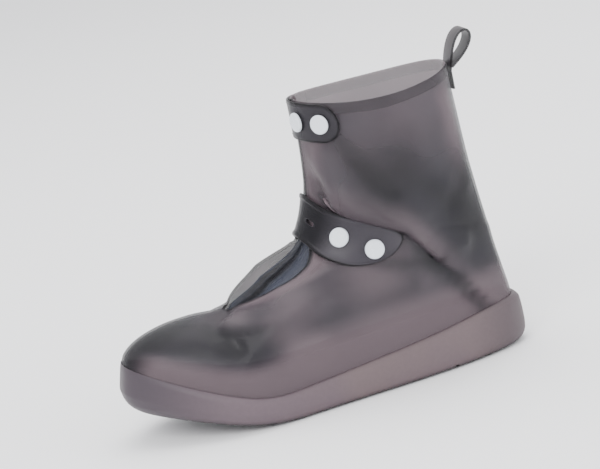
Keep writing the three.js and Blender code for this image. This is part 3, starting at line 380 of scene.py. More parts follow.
def smoothstep(x, low, high):
    t = np.clip((x - low) / (high - low), 0, 1)
    return t * t * (3 - 2 * t)


def lerp(low, high, share):
    return low + (high - low) * share


def unit(vectors):
    return vectors / np.linalg.norm(vectors, axis=-1, keepdims=True)


def hump(distance, reach):
    """1 at no distance, falling softly to nothing past the reach."""
    return np.exp(-((distance / reach) ** 2))


def turn_from_front(turn):
    return np.arccos(np.cos(turn))


TOE_X = -SOLE_LENGTH / 2
HEEL_X = SOLE_LENGTH / 2
THROAT_X = TOE_X + FOOT["front"][-1] * SOLE_LENGTH
COLLAR_BACK_X = TOE_X + SHAFT["back"][-1] * SOLE_LENGTH
COLLAR_FRONT_X = COLLAR_BACK_X - COLLAR_DEPTH
BREAK_X = HEEL_X - BREAK_PLACE
LEVELS = np.arange(RIM + 1)


def section_heights(key):
    foot = lerp(TOE_BAND, THROAT_HEIGHT, np.array(FOOT[key]))
    return np.append(foot, lerp(THROAT_HEIGHT, COLLAR_HEIGHT, np.array(SHAFT[key])))


SECTIONS = {
    "front_x": np.append(
        TOE_X + SOLE_LENGTH * np.array(FOOT["front"]), lerp(THROAT_X, COLLAR_FRONT_X, np.array(SHAFT["front"]))
    ),
    "back_x": TOE_X + SOLE_LENGTH * np.array(FOOT["back"] + SHAFT["back"]),
    "front_z": section_heights("front_up"),
    "back_z": section_heights("back_up"),
    "follow": np.append(FOOT["follow"], np.zeros(RIM - THROAT)),
    "square": np.array(FOOT["square"] + SHAFT["square"]),
}
HALF_WIDTHS = [np.append(np.array(FOOT[key]) * BALL_WIDTH, np.array(SHAFT[key]) * COLLAR_WIDTH) for key in WIDTHS]
WIDTH_PLACES = np.linspace(0, 1, len(WIDTHS))


def section(key, level):
    return curve(LEVELS, SECTIONS[key], level)


def band_value(key, size, share):
    return size * curve(BAND["place"], BAND[key], share)


def opening_at(key, level):
    return COLLAR_WIDTH * np.maximum(0, curve(OPENING["level"], OPENING[key], level))


def plain_point(level, turn):
    """The upper's outer face without folds, over a flat sole."""
    level, turn = np.broadcast_arrays(np.asarray(level, float), np.asarray(turn, float))
    share = (1 - np.cos(turn)) / 2
    side = np.sin(turn)
    widths = np.stack([curve(LEVELS, column, level) for column in HALF_WIDTHS])
    width = curve(WIDTH_PLACES, widths, share)
    x = lerp(section("front_x", level), section("back_x", level), share)
    lean = TOE_INWARD * smoothstep(-x, 0, SOLE_LENGTH / 2)
    y = lean - np.sign(side) * width * np.abs(side) ** (1 - section("square", level))
    hollow = TOE_BAND * lerp(1, BAND["height"][-1], share) - band_value("height", TOE_BAND, share)
    rise = lerp(section("front_z", level), section("back_z", level), share)
    sag = COLLAR_DIP * side * side * smoothstep(level, RIM - DIP_LEVELS, RIM)
    return np.stack([x, y, rise - section("follow", level) * hollow - sag], axis=-1)


def level_where(turn, measure, value):
    """The level at which a rising measure of the plain upper reaches a value."""
    turn = np.asarray(turn, float)
    low = np.zeros(turn.shape)
    high = np.full(turn.shape, float(RIM))
    for _ in range(HALVINGS):
        middle = (low + high) / 2
        under = measure(plain_point(middle, turn), turn) < value
        low = np.where(under, middle, low)
        high = np.where(under, high, middle)
    return (low + high) / 2


def level_of_height(height):
    return float(level_where(0.0, lambda point, turn: point[..., 2], height))


STRAP_LEAN = math.hypot(1, STRAP_SLOPE)
STRAP_FRONT = plain_point(level_of_height(STRAP_HEIGHT), 0.0)
TAB_MIDDLE = -(TAB_BELOW_RIM + TAB_HEIGHT / 2)


def strap_measure(point, turn):
    """How far a place lies above the strap's middle, square to the strap."""
    drop = STRAP_DROP * smoothstep(turn_from_front(turn), 0, STRAP_DROP_TURN)
    return (point[..., 2] - STRAP_HEIGHT + drop + STRAP_SLOPE * (point[..., 0] - STRAP_FRONT[0])) / STRAP_LEAN


def rim_measure(point, turn):
    return point[..., 2] - plain_point(RIM, turn)[..., 2]


def fold_line(fold):
    _, level, turn, to_level, to_turn, rise, spread = fold
    share = np.linspace(0, 1, FOLD_STEPS + 1)
    line = plain_point(lerp(level, to_level, share), np.radians(lerp(turn, to_turn, share)))
    return line, rise * COLLAR_WIDTH, spread * COLLAR_WIDTH


def distance_to_line(points, line):
    nearest = np.full(points.shape[:-1], np.inf)
    for start, end in zip(line, line[1:]):
        along = end - start
        share = np.clip((points - start) @ along / (along @ along), 0, 1)
        nearest = np.minimum(nearest, np.linalg.norm(points - start - share[..., None] * along, axis=-1))
    return nearest


STRAP_END_X = STRAP_FRONT[0] + STRAP_OUTER_REACH / STRAP_LEAN


def pressed_flat(point, turn, spread=PRESS_SPREAD):
    """How much the strap and the tab press the folds flat, from 0 to 1; spread is how far past the strap's edge."""
    across_strap = np.abs(strap_measure(point, turn)) / (STRAP_END_WIDTH / 2)
    behind = smoothstep(point[..., 0], STRAP_END_X, STRAP_END_X + PRESS_FADE)
    by_strap = (1 - smoothstep(across_strap, 1, 1 + spread)) * (1 - behind)
    tab_end = COLLAR_FRONT_X + TAB_OUTER_REACH / 2
    below_tab = -rim_measure(point, turn) / TAB_HEIGHT
    behind = smoothstep(point[..., 0], tab_end, tab_end + TAB_PRESS_FADE)
    by_tab = (1 - smoothstep(below_tab, 1, 1 + TAB_PRESS_SPREAD)) * (1 - behind)
    return np.maximum(by_strap, by_tab)


SOLID_LINES = [fold_line(fold) for fold in FOLDS]
ALL_LINES = SOLID_LINES + [fold_line(fold) for fold in CREASES]
LINE_OF = {fold[0]: fold_line(fold)[0] for fold in FOLDS}


def fold_rise(level, turn, lines):
    point = plain_point(level, turn)
    rise = sum(height * hump(distance_to_line(point, line), spread) for line, height, spread in lines)
    near_rim = smoothstep(level, RIM - RIM_CALM_LEVELS, RIM)
    calm = (1 - RIM_CALM * near_rim) * smoothstep(level, 0, SOLE_CALM_LEVELS)
    return rise * (1 - pressed_flat(point, turn)) * calm


def opening_turn(side, level):
    """Half the opening at a level, as a turn."""
    share = opening_at(side, level) / curve(LEVELS, HALF_WIDTHS[1], level)
    return np.arcsin(np.clip(share, 0, 0.9)) * (np.asarray(level) > THROAT)


def lip_rise(level, turn):
    around = np.where(turn > math.pi, turn - 2 * math.pi, turn)
    outer = around >= 0
    past = np.abs(around) - np.where(outer, opening_turn("outer", level), opening_turn("inner", level))
    lift = np.where(outer, opening_at("outer_lift", level), opening_at("inner_lift", level))
    lift = lift * hump(np.maximum(past, 0), LIP_SPREAD)
    return lift * (1 - pressed_flat(plain_point(level, turn), turn, LIP_PRESS_SPREAD))


def normal_of(surface, level, turn, step):
    across = surface(level, turn + step) - surface(level, turn - step)
    up = surface(np.minimum(level + step, RIM), turn) - surface(np.maximum(level - step, 0), turn)
    return unit(np.cross(across, up))


def folded_point(level, turn, with_lips, lines):
    rise = fold_rise(level, turn, lines)
    if with_lips:
        rise = rise + lip_rise(level, turn)
    return plain_point(level, turn) + normal_of(plain_point, level, turn, NORMAL_STEP) * rise[..., None]


def folded_face(level, turn, with_lips, lines):
    """A place on the folded upper's outer face, over a flat sole, and its normal."""
    level, turn = np.broadcast_arrays(np.asarray(level, float), np.asarray(turn, float))

    def surface(at_level, at_turn):
        return folded_point(at_level, at_turn, with_lips, lines)

    return surface(level, turn), normal_of(surface, level, turn, FOLDED_STEP)


def beside_upper(level, turn, out):
    """A place at a distance out from the upper's outer face, lips left out."""
    point, normal = folded_face(level, turn, False, SOLID_LINES)
    return point + normal * np.asarray(out)[..., None]


def spring_toe(points):
    """Lifts the toe: what lies in front of the break turns up round it."""
    ahead = np.maximum(0, BREAK_X - points[..., 0])
    bent = np.minimum(ahead, BREAK_LENGTH)
    angle = TOE_SPRING * bent / BREAK_LENGTH
    radius = BREAK_LENGTH / TOE_SPRING
    straight = ahead - bent
    height = points[..., 2]
    behind = np.maximum(points[..., 0], BREAK_X)
    x = behind - radius * np.sin(angle) - straight * np.cos(angle) + height * np.sin(angle)
    z = radius * (1 - np.cos(angle)) + straight * np.sin(angle) + height * np.cos(angle)
    return np.stack([x, points[..., 1], z], axis=-1)


def frame_shift():
    """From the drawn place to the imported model's: the sole's back end and the loop's middle are on known lines."""
    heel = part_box("outsole")[1].x / MM
    loop_low, loop_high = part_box("pull_loop")
    drawn_heel = HEEL_X + band_value("bulge", SOLE_BULGE, 1.0)
    return np.array([heel - drawn_heel, (loop_low.y + loop_high.y) / 2 / MM, 0.0])


SHIFT = frame_shift()


def to_frame(points):
    return (np.asarray(points) + SHIFT) * MM


# Meshes

MERGE_REACH = 2e-6  # metres between points that count as one


def store(mesh, attributes):
    """Stores named values at the points, which the materials read as tints."""
    for key, values in attributes.items():
        layer = mesh.attributes.new(key, "FLOAT", "POINT")
        layer.data.foreach_set("value", np.asarray(values, np.float32).ravel())


def linked(name, data):
    piece = bpy.data.objects.new(name, data)
    bpy.context.scene.collection.objects.link(piece)
    return piece


def smooth(mesh, degrees):
    """Smooth shading; edges sharper than the angle stay sharp."""
    mesh.shade_smooth()
    mesh.set_sharp_from_angle(angle=math.radians(degrees))


def drawn_places(mesh):
    """A mesh's points in drawn millimetres."""
    places = np.empty(len(mesh.vertices) * 3)
    mesh.vertices.foreach_get("co", places)
    return places.reshape(-1, 3) / MM - SHIFT


def new_object(name, points, faces, attributes=None):
    """A mesh object from points in drawn millimetres, its doubles merged and its faces outward and smooth."""
    mesh = bpy.data.meshes.new(name)
    mesh.from_pydata(to_frame(np.asarray(points).reshape(-1, 3)).tolist(), [], [tuple(face) for face in faces])
    store(mesh, attributes or {})
    tidy = bmesh.new()
    tidy.from_mesh(mesh)
    bmesh.ops.remove_doubles(tidy, verts=tidy.verts, dist=MERGE_REACH)
    bmesh.ops.dissolve_degenerate(tidy, edges=tidy.edges, dist=MERGE_REACH / 2)
    open_edges = sum(1 for edge in tidy.edges if len(edge.link_faces) != 2)
    if open_edges:
        print(f"{name}: {open_edges} open edges")
    if tidy.calc_volume(signed=True) < 0:
        bmesh.ops.reverse_faces(tidy, faces=tidy.faces)
    tidy.to_mesh(mesh)
    tidy.free()
    mesh.shade_smooth()
    return linked(name, mesh)


def grid_faces(rows, columns, offset=0, keep=None):
    r, c = np.meshgrid(np.arange(rows - 1), np.arange(columns - 1), indexing="ij")
    if keep is not None:
        r, c = r[keep], c[keep]
    a = offset + r * columns + c
    return np.stack([a, a + 1, a + columns + 1, a + columns], axis=-1).reshape(-1, 4)


def rounded_border(outer, inner, axis, end, steps=3, flat=None):
    """Extra lines of points that round off one border of a sheet, so that its two faces meet there."""
    way = -1 if end else 1
    outer, inner = (np.moveaxis(side, axis, 0)[::way] for side in (outer, inner))
    middle = (outer[0] + inner[0]) / 2
    half = (outer[0] - inner[0]) / 2
    beyond = middle - (outer[1] + inner[1]) / 2
    length = np.linalg.norm(beyond, axis=-1, keepdims=True)
    beyond = beyond / np.maximum(length, 1e-9) * np.linalg.norm(half, axis=-1, keepdims=True)
    if flat is not None:
        beyond = beyond * (1 - flat)[:, None]
    angles = [math.pi / 2 * i / steps for i in range(steps, 0, -1)]
    outer_lines = [middle + half * math.cos(a) + beyond * math.sin(a) for a in angles]
    inner_lines = [middle - half * math.cos(a) + beyond * math.sin(a) for a in angles]
    outer, inner = np.concatenate([outer_lines, outer]), np.concatenate([inner_lines, inner])
    return np.moveaxis(outer[::way], 0, axis), np.moveaxis(inner[::way], 0, axis)


def rounded_sheet(outer, inner, steps):
    """Rounds off all four borders of a sheet."""
    for axis in (0, 1):
        for end in (0, 1):
            outer, inner = rounded_border(outer, inner, axis, end, steps)
    return outer, inner


def border_nearness(grid, axis, end, reach):
    """1 on one border of a grid of points, falling to 0 at a reach from it."""
    way = -1 if end else 1
    steps = np.linalg.norm(np.diff(np.moveaxis(grid, axis, 0)[::way], axis=0), axis=-1)
    away = np.concatenate([np.zeros((1,) + steps.shape[1:]), np.cumsum(steps, axis=0)])[::way]
    return np.moveaxis(1 - smoothstep(away, 0.5 * reach, reach), 0, axis)


def sheet_object(name, outer, inner, attributes, keep=None):
    """A closed sheet from two grids of points whose borders meet; attributes are pairs, for outside and inside."""
    rows, columns = outer.shape[:2]
    points = np.concatenate([outer.reshape(-1, 3), inner.reshape(-1, 3)])
    faces = np.concatenate(
        [grid_faces(rows, columns, 0, keep), grid_faces(rows, columns, rows * columns, keep)[:, ::-1]]
    )
    joined = {key: np.concatenate([side.ravel() for side in pair]) for key, pair in attributes.items()}
    return new_object(name, points, faces, joined)


def grid_normals(grid):
    return unit(np.cross(np.gradient(grid, axis=1), np.gradient(grid, axis=0)))


def ground_outward(turn):
    """The level direction away from the upper's lower edge."""
    across = plain_point(0, turn + NORMAL_STEP) - plain_point(0, turn - NORMAL_STEP)
    return unit(np.stack([across[:, 1], -across[:, 0], np.zeros(len(across))], axis=-1))


def rows_of(spans, end):
    """Levels of a mesh's rows from spans, each with its first level and its spacing."""
    stops = [start for start, pitch in spans[1:]] + [end]
    return np.concatenate([np.arange(start, stop, pitch) for (start, pitch), stop in zip(spans, stops)])


def roll_over_strap(face, normal, level, turn):
    """Slides the upper above the strap out and down over the strap's edge. Behind the strap the roll drops towards the
    heel. Gives the places, how far above the roll's foot each lies, and how fully it is rolled."""
    plain = plain_point(level, turn)
    past_end = plain[..., 0] - STRAP_END_X
    drop = ROLL_DROP * np.maximum(past_end + ROLL_LEAD, 0) / STRAP_LEAN
    above = strap_measure(plain, turn) - STRAP_END_WIDTH / 2 + drop
    amount = smoothstep(turn_from_front(turn), *ROLL_START) * (1 - smoothstep(past_end, *ROLL_END))
    amount = amount * np.where(np.sin(turn) < 0, ROLL_INNER, 1)
    up = np.array([STRAP_SLOPE, 0, 1]) / STRAP_LEAN
    up = unit(up - (normal @ up)[..., None] * normal)
    out = curve(ROLL["above"], ROLL["out"], above) * amount
    down = curve(ROLL["above"], ROLL["down"], above) * amount**ROLL_SLIDE
    return face + normal * out[..., None] - up * down[..., None], above, amount


def upper_tints(face, level, turn, above, rolled, hem_share):
    """Where the upper is darker, where warm and lighter, and where the inside is pale, each from 0 to 1: partly painted
    shade and painted light.
    """

    def tinted(lines, spots):
        amount = sum(part * hump(distance_to_line(face, LINE_OF[name]), reach) for name, (part, reach) in lines.items())
        for part, spot_level, spot_turn, reach in spots:
            spot = plain_point(spot_level, math.radians(spot_turn))
            amount = amount + part * hump(np.linalg.norm(face - spot, axis=-1), reach)
        return amount

    def area(away, amount, turns, begin, end):
        for value, span, falls in ((away, turns, True), (level, begin, False), (level, end, True)):
            if span:
                share = smoothstep(value, *span)
                amount = amount * (1 - share if falls else share)
        return amount

    from_front = turn_from_front(turn)
    past_end = face[..., 0] - STRAP_END_X
    # Painted shade in the pocket under the roll, just past the strap's round end, on the outer side
    pocket_shade = smoothstep(past_end, -8, 4) * (1 - smoothstep(past_end, 35, 62)) * hump(above + 6, 7) * (np.sin(turn) > 0)
    toe = sum(area(from_front, *each) for each in DARK_AREAS.values())
    # Painted shade in the fold valleys and under the roll's overhang at the strap's edge, with darker spots and areas
    dark = tinted(CREASE_SHADE_LINES, DARK_SPOTS) + 0.8 * rolled * hump(above - 2.5, 2)
    dark = np.clip(dark + 0.6 * pocket_shade + toe, 0, 1)
    opening = np.where(np.sin(turn) > 0, opening_turn("outer", level), opening_turn("inner", level))
    front = sum(area(from_front, *each) for each in LIGHT_AREAS.values())
    # Painted light coming through the lips beside the opening
    lips = area(from_front - opening, *LIP_BACKLIGHT_AREA)
    # Painted light in a band just above the sole, taller round the sides and the heel
    band_top = lerp(2.6, 4.2, smoothstep(from_front, 0.9, 1.5))
    sole_band_light = 1 - smoothstep(level / band_top, 0.45, 1)
    # Painted highlights on the fold ridges and the roll's crown, with lighter spots and areas
    light = tinted(RIDGE_HIGHLIGHT_LINES, LIGHT_SPOTS) + 0.6 * rolled * hump(above - 13, 7)
    light = np.clip(light + front + lips + 0.9 * sole_band_light, 0, 1)
    # The warm tint carries this painted light, held back where the upper is darker.
    warm = light * (1 - 0.7 * dark)
    # The shade holds the painted shade and darker patches, the doubled hem, and the painted shade down the heel's back.
    shade = np.maximum.reduce([dark, 0.6 * hem_share, area(math.pi - from_front, *HEEL_SHADE_AREA)])
    # The inside that shows at the rim and the far lip is a single sheet with the light behind it.
    pale = np.maximum(*(area(from_front, *each) for each in PALE_AREAS.values()))
    return shade, warm, pale


# The upper's mesh: spans of rows, which crowd where the roll over the strap lies, with extra rows at the hem's foot
UPPER_ROWS = ((0, 0.125), (THROAT, 0.1), (9.4, 0.045), (13.2, 0.1))
UPPER_COLUMNS = 160
COLUMN_CROWDING = 0.4
HEM_ROWS = (-0.02, -0.005, 0.01, 0.025)
HEM_CLEAR = 0.04
LAST_ROW_CLEAR = 0.05
BEAD = 0.35
BEAD_REACH = 3.2
BORDER_STEPS = 3


def upper_levels(hem_foot):
    """The levels of the upper's rows, with the hem's foot between rows of its own."""
    rim_row = level_of_height(COLLAR_HEIGHT - (WALL + HEM_THICKNESS) / 2)
    levels = np.append(rows_of(UPPER_ROWS, rim_row - LAST_ROW_CLEAR), rim_row)
    clear_of_hem = levels[np.abs(levels - hem_foot) > HEM_CLEAR]
    return np.unique(np.round(np.concatenate([clear_of_hem, hem_foot + np.array(HEM_ROWS)]), 5))


def upper_object():
    """One moulded sheet with the front opening, a thin bead round the opening and a hem at the rim."""
    hem_foot = level_of_height(COLLAR_HEIGHT - HEM_HEIGHT)
    levels = upper_levels(hem_foot)
    share = np.linspace(0, 1, UPPER_COLUMNS + 1)
    # Columns crowd towards the opening's lips.
    share = share - COLUMN_CROWDING * np.sin(2 * math.pi * share) / (2 * math.pi)
    level, along = np.meshgrid(levels, share, indexing="ij")
    turn = lerp(opening_turn("outer", level), 2 * math.pi - opening_turn("inner", level), along)
    face, normal = folded_face(level, turn, True, ALL_LINES)
    face, above, rolled = roll_over_strap(face, normal, level, turn)
    slid = (above > ROLL["above"][0]) & (above < ROLL["above"][-1]) & (rolled > 0) & (level > THROAT)
    normal = np.where(slid[..., None], grid_normals(face), normal)
    # The wall thins in the roll's tight turn, so that its inside doesn't cross itself.
    thinned = WALL * (1 - 0.5 * rolled * hump(above - 6, 2.5))
    hem_share = smoothstep(level, hem_foot + HEM_ROWS[0], hem_foot - HEM_ROWS[0])
    lip = np.maximum(border_nearness(face, 1, 0, BEAD_REACH), border_nearness(face, 1, 1, BEAD_REACH))
    lip = lip * (level > THROAT + 0.01)
    outer = face + normal * np.maximum(HEM_THICKNESS * hem_share, BEAD * lip)[..., None]
    inner = face - normal * (thinned + BEAD * lip)[..., None]
    shade, warm, pale = upper_tints(face, level, turn, above, rolled, hem_share)
    # The foot stands in the sole's step, and below the opening the sheet runs on round the front.
    foot = plain_point(0, turn[0]) - [0, 0, TUCK]
    outer = np.concatenate([foot[None], outer])
    inner = np.concatenate([(foot - ground_outward(turn[0]) * WALL)[None], inner])
    closed = np.concatenate([[1.0], levels <= THROAT + 1e-6])
    outer, inner = rounded_border(outer, inner, 1, 0, BORDER_STEPS, closed)
    outer, inner = rounded_border(outer, inner, 1, 1, BORDER_STEPS, closed)
    outer, inner = rounded_border(outer, inner, 0, 1, BORDER_STEPS)
    outer, inner = rounded_border(outer, inner, 0, 0, 1, np.ones(outer.shape[1]))
    rows, columns = outer.shape[:2]
    # Two rows now stand before those of the levels: the foot and its edge.
    throat_row = 2 + int(np.argmin(np.abs(levels - THROAT)))
    r, c = np.meshgrid(np.arange(rows - 1), np.arange(columns - 1), indexing="ij")
    border = (c < BORDER_STEPS) | (c >= columns - 1 - BORDER_STEPS)
    keep = ~(border & (r < throat_row))
    pad = ((2, BORDER_STEPS), (BORDER_STEPS, BORDER_STEPS))
    lip, shade, warm, pale = (np.pad(tint, pad, mode="edge") for tint in (lip, shade, warm, pale))
    # Both faces take the painted shade, the inside at half, and the warm painted light; only the inside is painted
    # pale.
    attributes = {"edge": (lip, lip), "shade": (shade, 0.5 * shade), "warm": (warm, warm), "pale": (0 * pale, pale)}
    return sheet_object("upper_skin", spring_toe(outer), spring_toe(inner), attributes, keep)


GUSSET_ROWS = ((THROAT - 0.5, 0.125), (THROAT, 0.06), (10.4, 0.12))
GUSSET_BELOW_RIM = 1.45  # in levels
GUSSET_COLUMNS = 97
GUSSET_LEAST_HALF = 3
WIDEST_OPENING = opening_at("outer", OPENING["level"][3])


def gusset_object():
    """A thin folded sheet that closes the opening from the inside, with a raised pleat down its middle."""
    under = WALL + GUSSET_GAP
    levels = rows_of(GUSSET_ROWS, RIM - GUSSET_BELOW_RIM)
    places = np.pad(np.linspace(-1, 1, GUSSET_COLUMNS), 1, mode="edge")
    past = np.pad(np.zeros(GUSSET_COLUMNS), 1, constant_values=1)
    level, place = np.meshgrid(levels, places, indexing="ij")
    open_share = np.clip(opening_at("outer", level) / WIDEST_OPENING, 0, 1) * (level > THROAT)
    half_width = curve(LEVELS, HALF_WIDTHS[0], level)
    half = np.where(place < 0, opening_turn("inner", level), opening_turn("outer", level))
    half = np.maximum(half, GUSSET_LEAST_HALF / half_width)
    turn = place * half + np.sign(place) * past * GUSSET_MARGIN / half_width
    depth = np.maximum(under, lerp(under, curve(PLEAT["place"], PLEAT["depth"], place) * COLLAR_WIDTH, open_share))
    on_pleat = (1 - smoothstep(np.abs(place), 0.14, 0.24)) * open_share
    # Small cross ripples on the pleat and slack ones beside it
    ripple = 0.7 * on_pleat * np.sin(2 * math.pi * level / 0.72)
    slack = 0.3 * (1 - on_pleat) * open_share * np.sin(2 * math.pi * (level / 1.9 + 0.7 * place))
    depth = np.maximum(under, depth + (ripple + slack))
    pleat_edge = hump(np.abs(place) - 0.235, 0.035) * open_share
    outer = beside_upper(level, turn, -depth)
    inner = beside_upper(level, turn, -depth - GUSSET_WALL)
    outer, inner = rounded_sheet(outer, inner, 2)
    tints = {"edge": pleat_edge, "shade": on_pleat}
    attributes = {key: (np.pad(tint, 2, mode="edge"),) * 2 for key, tint in tints.items()}
    return sheet_object("gusset_skin", spring_toe(outer), spring_toe(inner), attributes)


LAY_STEPS = 120
LAY_REACH = math.radians(120)
LAY_NEAR = 2  # half of the stretch over which a laid line's slope is taken


def laid_line(measure, value):
    """A line laid round the shaft's front: the turn and the x place by the length from the front."""
    turns = np.linspace(-LAY_REACH, LAY_REACH, LAY_STEPS + 1)
    points = plain_point(level_where(turns, measure, value), turns)
    lengths = np.concatenate([[0], np.cumsum(np.linalg.norm(np.diff(points, axis=0), axis=-1))])
    return lengths - lengths[LAY_STEPS // 2], turns, points[:, 0]


class Lay:
    """Where a band lies on the upper."""

    def __init__(self, measure, value, slope):
        self.measure, self.value, self.slope = measure, value, slope
        self.lengths, self.turns, self.x_places = laid_line(measure, value)

    def place(self, length, across, out):
        """A place on the band: along it from the front, across it from its middle, and out from the upper."""
        length, across, out = np.broadcast_arrays(*(np.asarray(v, float) for v in (length, across, out)))
        ahead = curve(self.lengths, self.x_places, length + LAY_NEAR)
        behind = curve(self.lengths, self.x_places, length - LAY_NEAR)
        slope = self.slope * (ahead - behind) / (2 * LAY_NEAR)
        turn = curve(self.lengths, self.turns, length + across * slope)
        return beside_upper(level_where(turn, self.measure, self.value + across), turn, out)

    def axis(self, length):
        return unit(self.place(length, 0.0, 1.0) - self.place(length, 0.0, 0.0))


STRAP_LAY = Lay(strap_measure, 0.0, STRAP_SLOPE)
TAB_LAY = Lay(rim_measure, TAB_MIDDLE, 0.0)

BAND_ROW_PITCH = 1.4
BAND_END_ROWS = 14
BAND_COLUMNS = 41
BAND_CROWDING = 1.25
BAND_END_HALF = 0.4  # half width kept at the tip of a round end, so that its last row doesn't fall into one point


def band_object(name, lay, ends, rounds, half_at, thickness_at, edge_radius, shade_at):
    """A flat band laid over the upper with rounded ends; thickness_at gives its thickness by distance from the edge."""
    low, high = ends[0] + edge_radius, ends[1] - edge_radius
    round_low, round_high = rounds[0] - edge_radius, rounds[1] - edge_radius
    bend = np.sin(np.linspace(0, math.pi / 2, BAND_END_ROWS))
    first = low + round_low * (1 - bend[::-1])
    last = high - round_high * (1 - bend)
    rows = int((high - low - round_low - round_high) / BAND_ROW_PITCH)
    straight = np.linspace(low + round_low, high - round_high, rows)
    lengths = np.concatenate([first[:-1], straight, last[1:]])
    tips = ((low + round_low, round_low, -1), (high - round_high, round_high, 1))
    half = half_at(lengths) - edge_radius
    for end, size, sign in tips:
        past = np.clip(sign * (lengths - end) / size, 0, 1)
        half = half - size * (1 - np.sqrt(1 - past**2))
    half = np.maximum(half, BAND_END_HALF)
    shares = np.linspace(-1, 1, BAND_COLUMNS)
    shares = np.sign(shares) * (1 - (1 - np.abs(shares)) ** BAND_CROWDING)
    share, length = np.meshgrid(shares, lengths, indexing="ij")
    across = share * half[None]
    inside = half[None] - np.abs(across)
    for end, size, sign in tips:
        whole = half_at(np.array([end]))[0] - edge_radius
        beyond = sign * (length - end) > 0
        side = np.maximum(np.abs(across) - (whole - size), 0)
        to_edge = size - np.hypot(length - end, side)
        inside = np.where(beyond, to_edge, inside)
    thickness = thickness_at(inside + edge_radius)
    outer = lay.place(length, across, LAID_GAP + thickness)
    inner = lay.place(length, across, np.full(length.shape, float(LAID_GAP)))
    attributes = {"edge": 1 - smoothstep(inside, 0.2, 1.4), "shade": shade_at(length, across)}
    outer, inner = rounded_sheet(outer, inner, BORDER_STEPS)
    attributes = {key: (np.pad(values, BORDER_STEPS, mode="edge"),) * 2 for key, values in attributes.items()}
    return sheet_object(name, outer, inner, attributes)


def strap_object():
    def half_at(length):
        waist = 1 - smoothstep(np.abs(length), *STRAP_WAIST)
        return STRAP_END_WIDTH / 2 * lerp(1, STRAP_WIDTH / STRAP_END_WIDTH, waist)

    def thickness_at(inside):
        return lerp(STRAP_THICKNESS, STRAP_FIELD, smoothstep(inside, *STRAP_BORDER_SLOPE))

    def shade_at(length, across):
        return 1 - smoothstep(np.abs(length + 0.3 * across), *STRAP_SHADE)

    ends = (-STRAP_INNER_REACH, STRAP_OUTER_REACH)
    rounds = (STRAP_END_WIDTH / 2, STRAP_END_WIDTH / 2)
    edge = STRAP_EDGE_RADIUS
    return band_object("instep_strap_skin", STRAP_LAY, ends, rounds, half_at, thickness_at, edge, shade_at)


def tab_object():
    def half_at(length):
        return np.full(np.shape(length), TAB_HEIGHT / 2)

    def thickness_at(inside):
        return TAB_THICKNESS - TAB_LINE + TAB_LINE * hump(inside - TAB_LINE_PLACE, TAB_LINE_REACH)

    def shade_at(length, across):
        return np.full(np.shape(length), TAB_SHADE)

    ends = (-TAB_INNER_REACH, TAB_OUTER_REACH)
    rounds = (TAB_HEIGHT / 6, TAB_HEIGHT / 2)
    edge = TAB_EDGE_RADIUS
    return band_object("collar_tab_skin", TAB_LAY, ends, rounds, half_at, thickness_at, edge, shade_at)


WELD_GAP = 0.06  # left between the upper and the sole's top edge, so that they look welded
TOP_EDGE = 0.3  # bevel of the sole's top edge
SOLE_COLUMNS = 200
SIDE_STEPS = 5


def sole_object():
    """The cup sole over a flat floor, its tread still uncut."""
    columns = SOLE_COLUMNS
    turn = np.arange(columns) * 2 * math.pi / columns
    share = (1 - np.cos(turn)) / 2
    height = band_value("height", TOE_BAND, share)
    radius = band_value("radius", SOLE_EDGE_RADIUS, share)
    sizes = {
        "bulge": band_value("bulge", SOLE_BULGE, share),
        "radius": radius,
        "height": height,
        "low": np.minimum(radius, height / 2),
        "shoulder": np.full(columns, SOLE_EDGE_RADIUS),
    }
    shares = {key: np.array(column)[:, None] * sizes[key] for key, column in SIDE.items()}
    side_outs = shares["bulge"] - shares["radius"]
    side_outs[-1] = WELD_GAP + TOP_EDGE
    side_ups = shares["height"] + shares["low"] - shares["shoulder"]
    # A smooth curve through the side's rows
    rows = np.arange(len(side_outs))
    fine = np.linspace(0, rows[-1], SIDE_STEPS * rows[-1] + 1)
    outs = [curve(rows, side_outs, np.full(columns, at)) for at in fine]
    ups = [curve(rows, side_ups, np.full(columns, at)) for at in fine]
    ledge = height - TUCK - CLEARANCE
    ledge_end = np.full(columns, -(WALL + 2 * CLEARANCE))
    outs += [np.full(columns, WELD_GAP), np.full(columns, WELD_GAP), ledge_end]
    ups += [height - TOP_EDGE, ledge, ledge]
    cove = np.linspace(0, math.pi / 2, 7)
    outs += [ledge_end - SOLE_COVE * (1 - math.cos(a)) for a in cove]
    ups += [np.full(columns, SOLE_FLOOR + SOLE_COVE * (1 - math.sin(a))) for a in cove]
    outs, ups = np.stack(outs), np.stack(ups)
    points = plain_point(0, turn)[None] + ground_outward(turn)[None] * outs[..., None]
    points[..., 2] = ups
    count = len(outs)
    ring = np.arange(columns)
    faces = []
    for r in range(count - 1):
        a, b = r * columns + ring, r * columns + (ring + 1) % columns
        faces += np.stack([a, b, b + columns, a + columns], axis=-1).tolist()
    # The underside and the hollow's floor are strips across, from one side to the other.
    last = (count - 1) * columns
    for c in range(columns // 2):
        mirror, mirror_next = (columns - c) % columns, columns - c - 1
        faces.append([c, mirror, mirror_next, c + 1])
        faces.append([last + mirror, last + c, last + c + 1, last + mirror_next])
    return new_object("outsole_skin", points, faces)


# Nodes


def add_node(tree, kind, sockets=None, **settings):
    """Adds a node, sets its settings, and fills its sockets with values or links."""
    node = tree.nodes.new(kind)
    for key, value in settings.items():
        setattr(node, key, value)
    for key, value in (sockets or {}).items():
        if isinstance(value, bpy.types.NodeSocket):
            tree.links.new(value, node.inputs[key])
        else:
            node.inputs[key].default_value = value
    return node


def reckoned(tree, operation, first, second):
    return add_node(tree, "ShaderNodeMath", {0: first, 1: second}, operation=operation).outputs[0]


def vector(tree, **parts):
    return add_node(tree, "ShaderNodeCombineXYZ", parts).outputs[0]


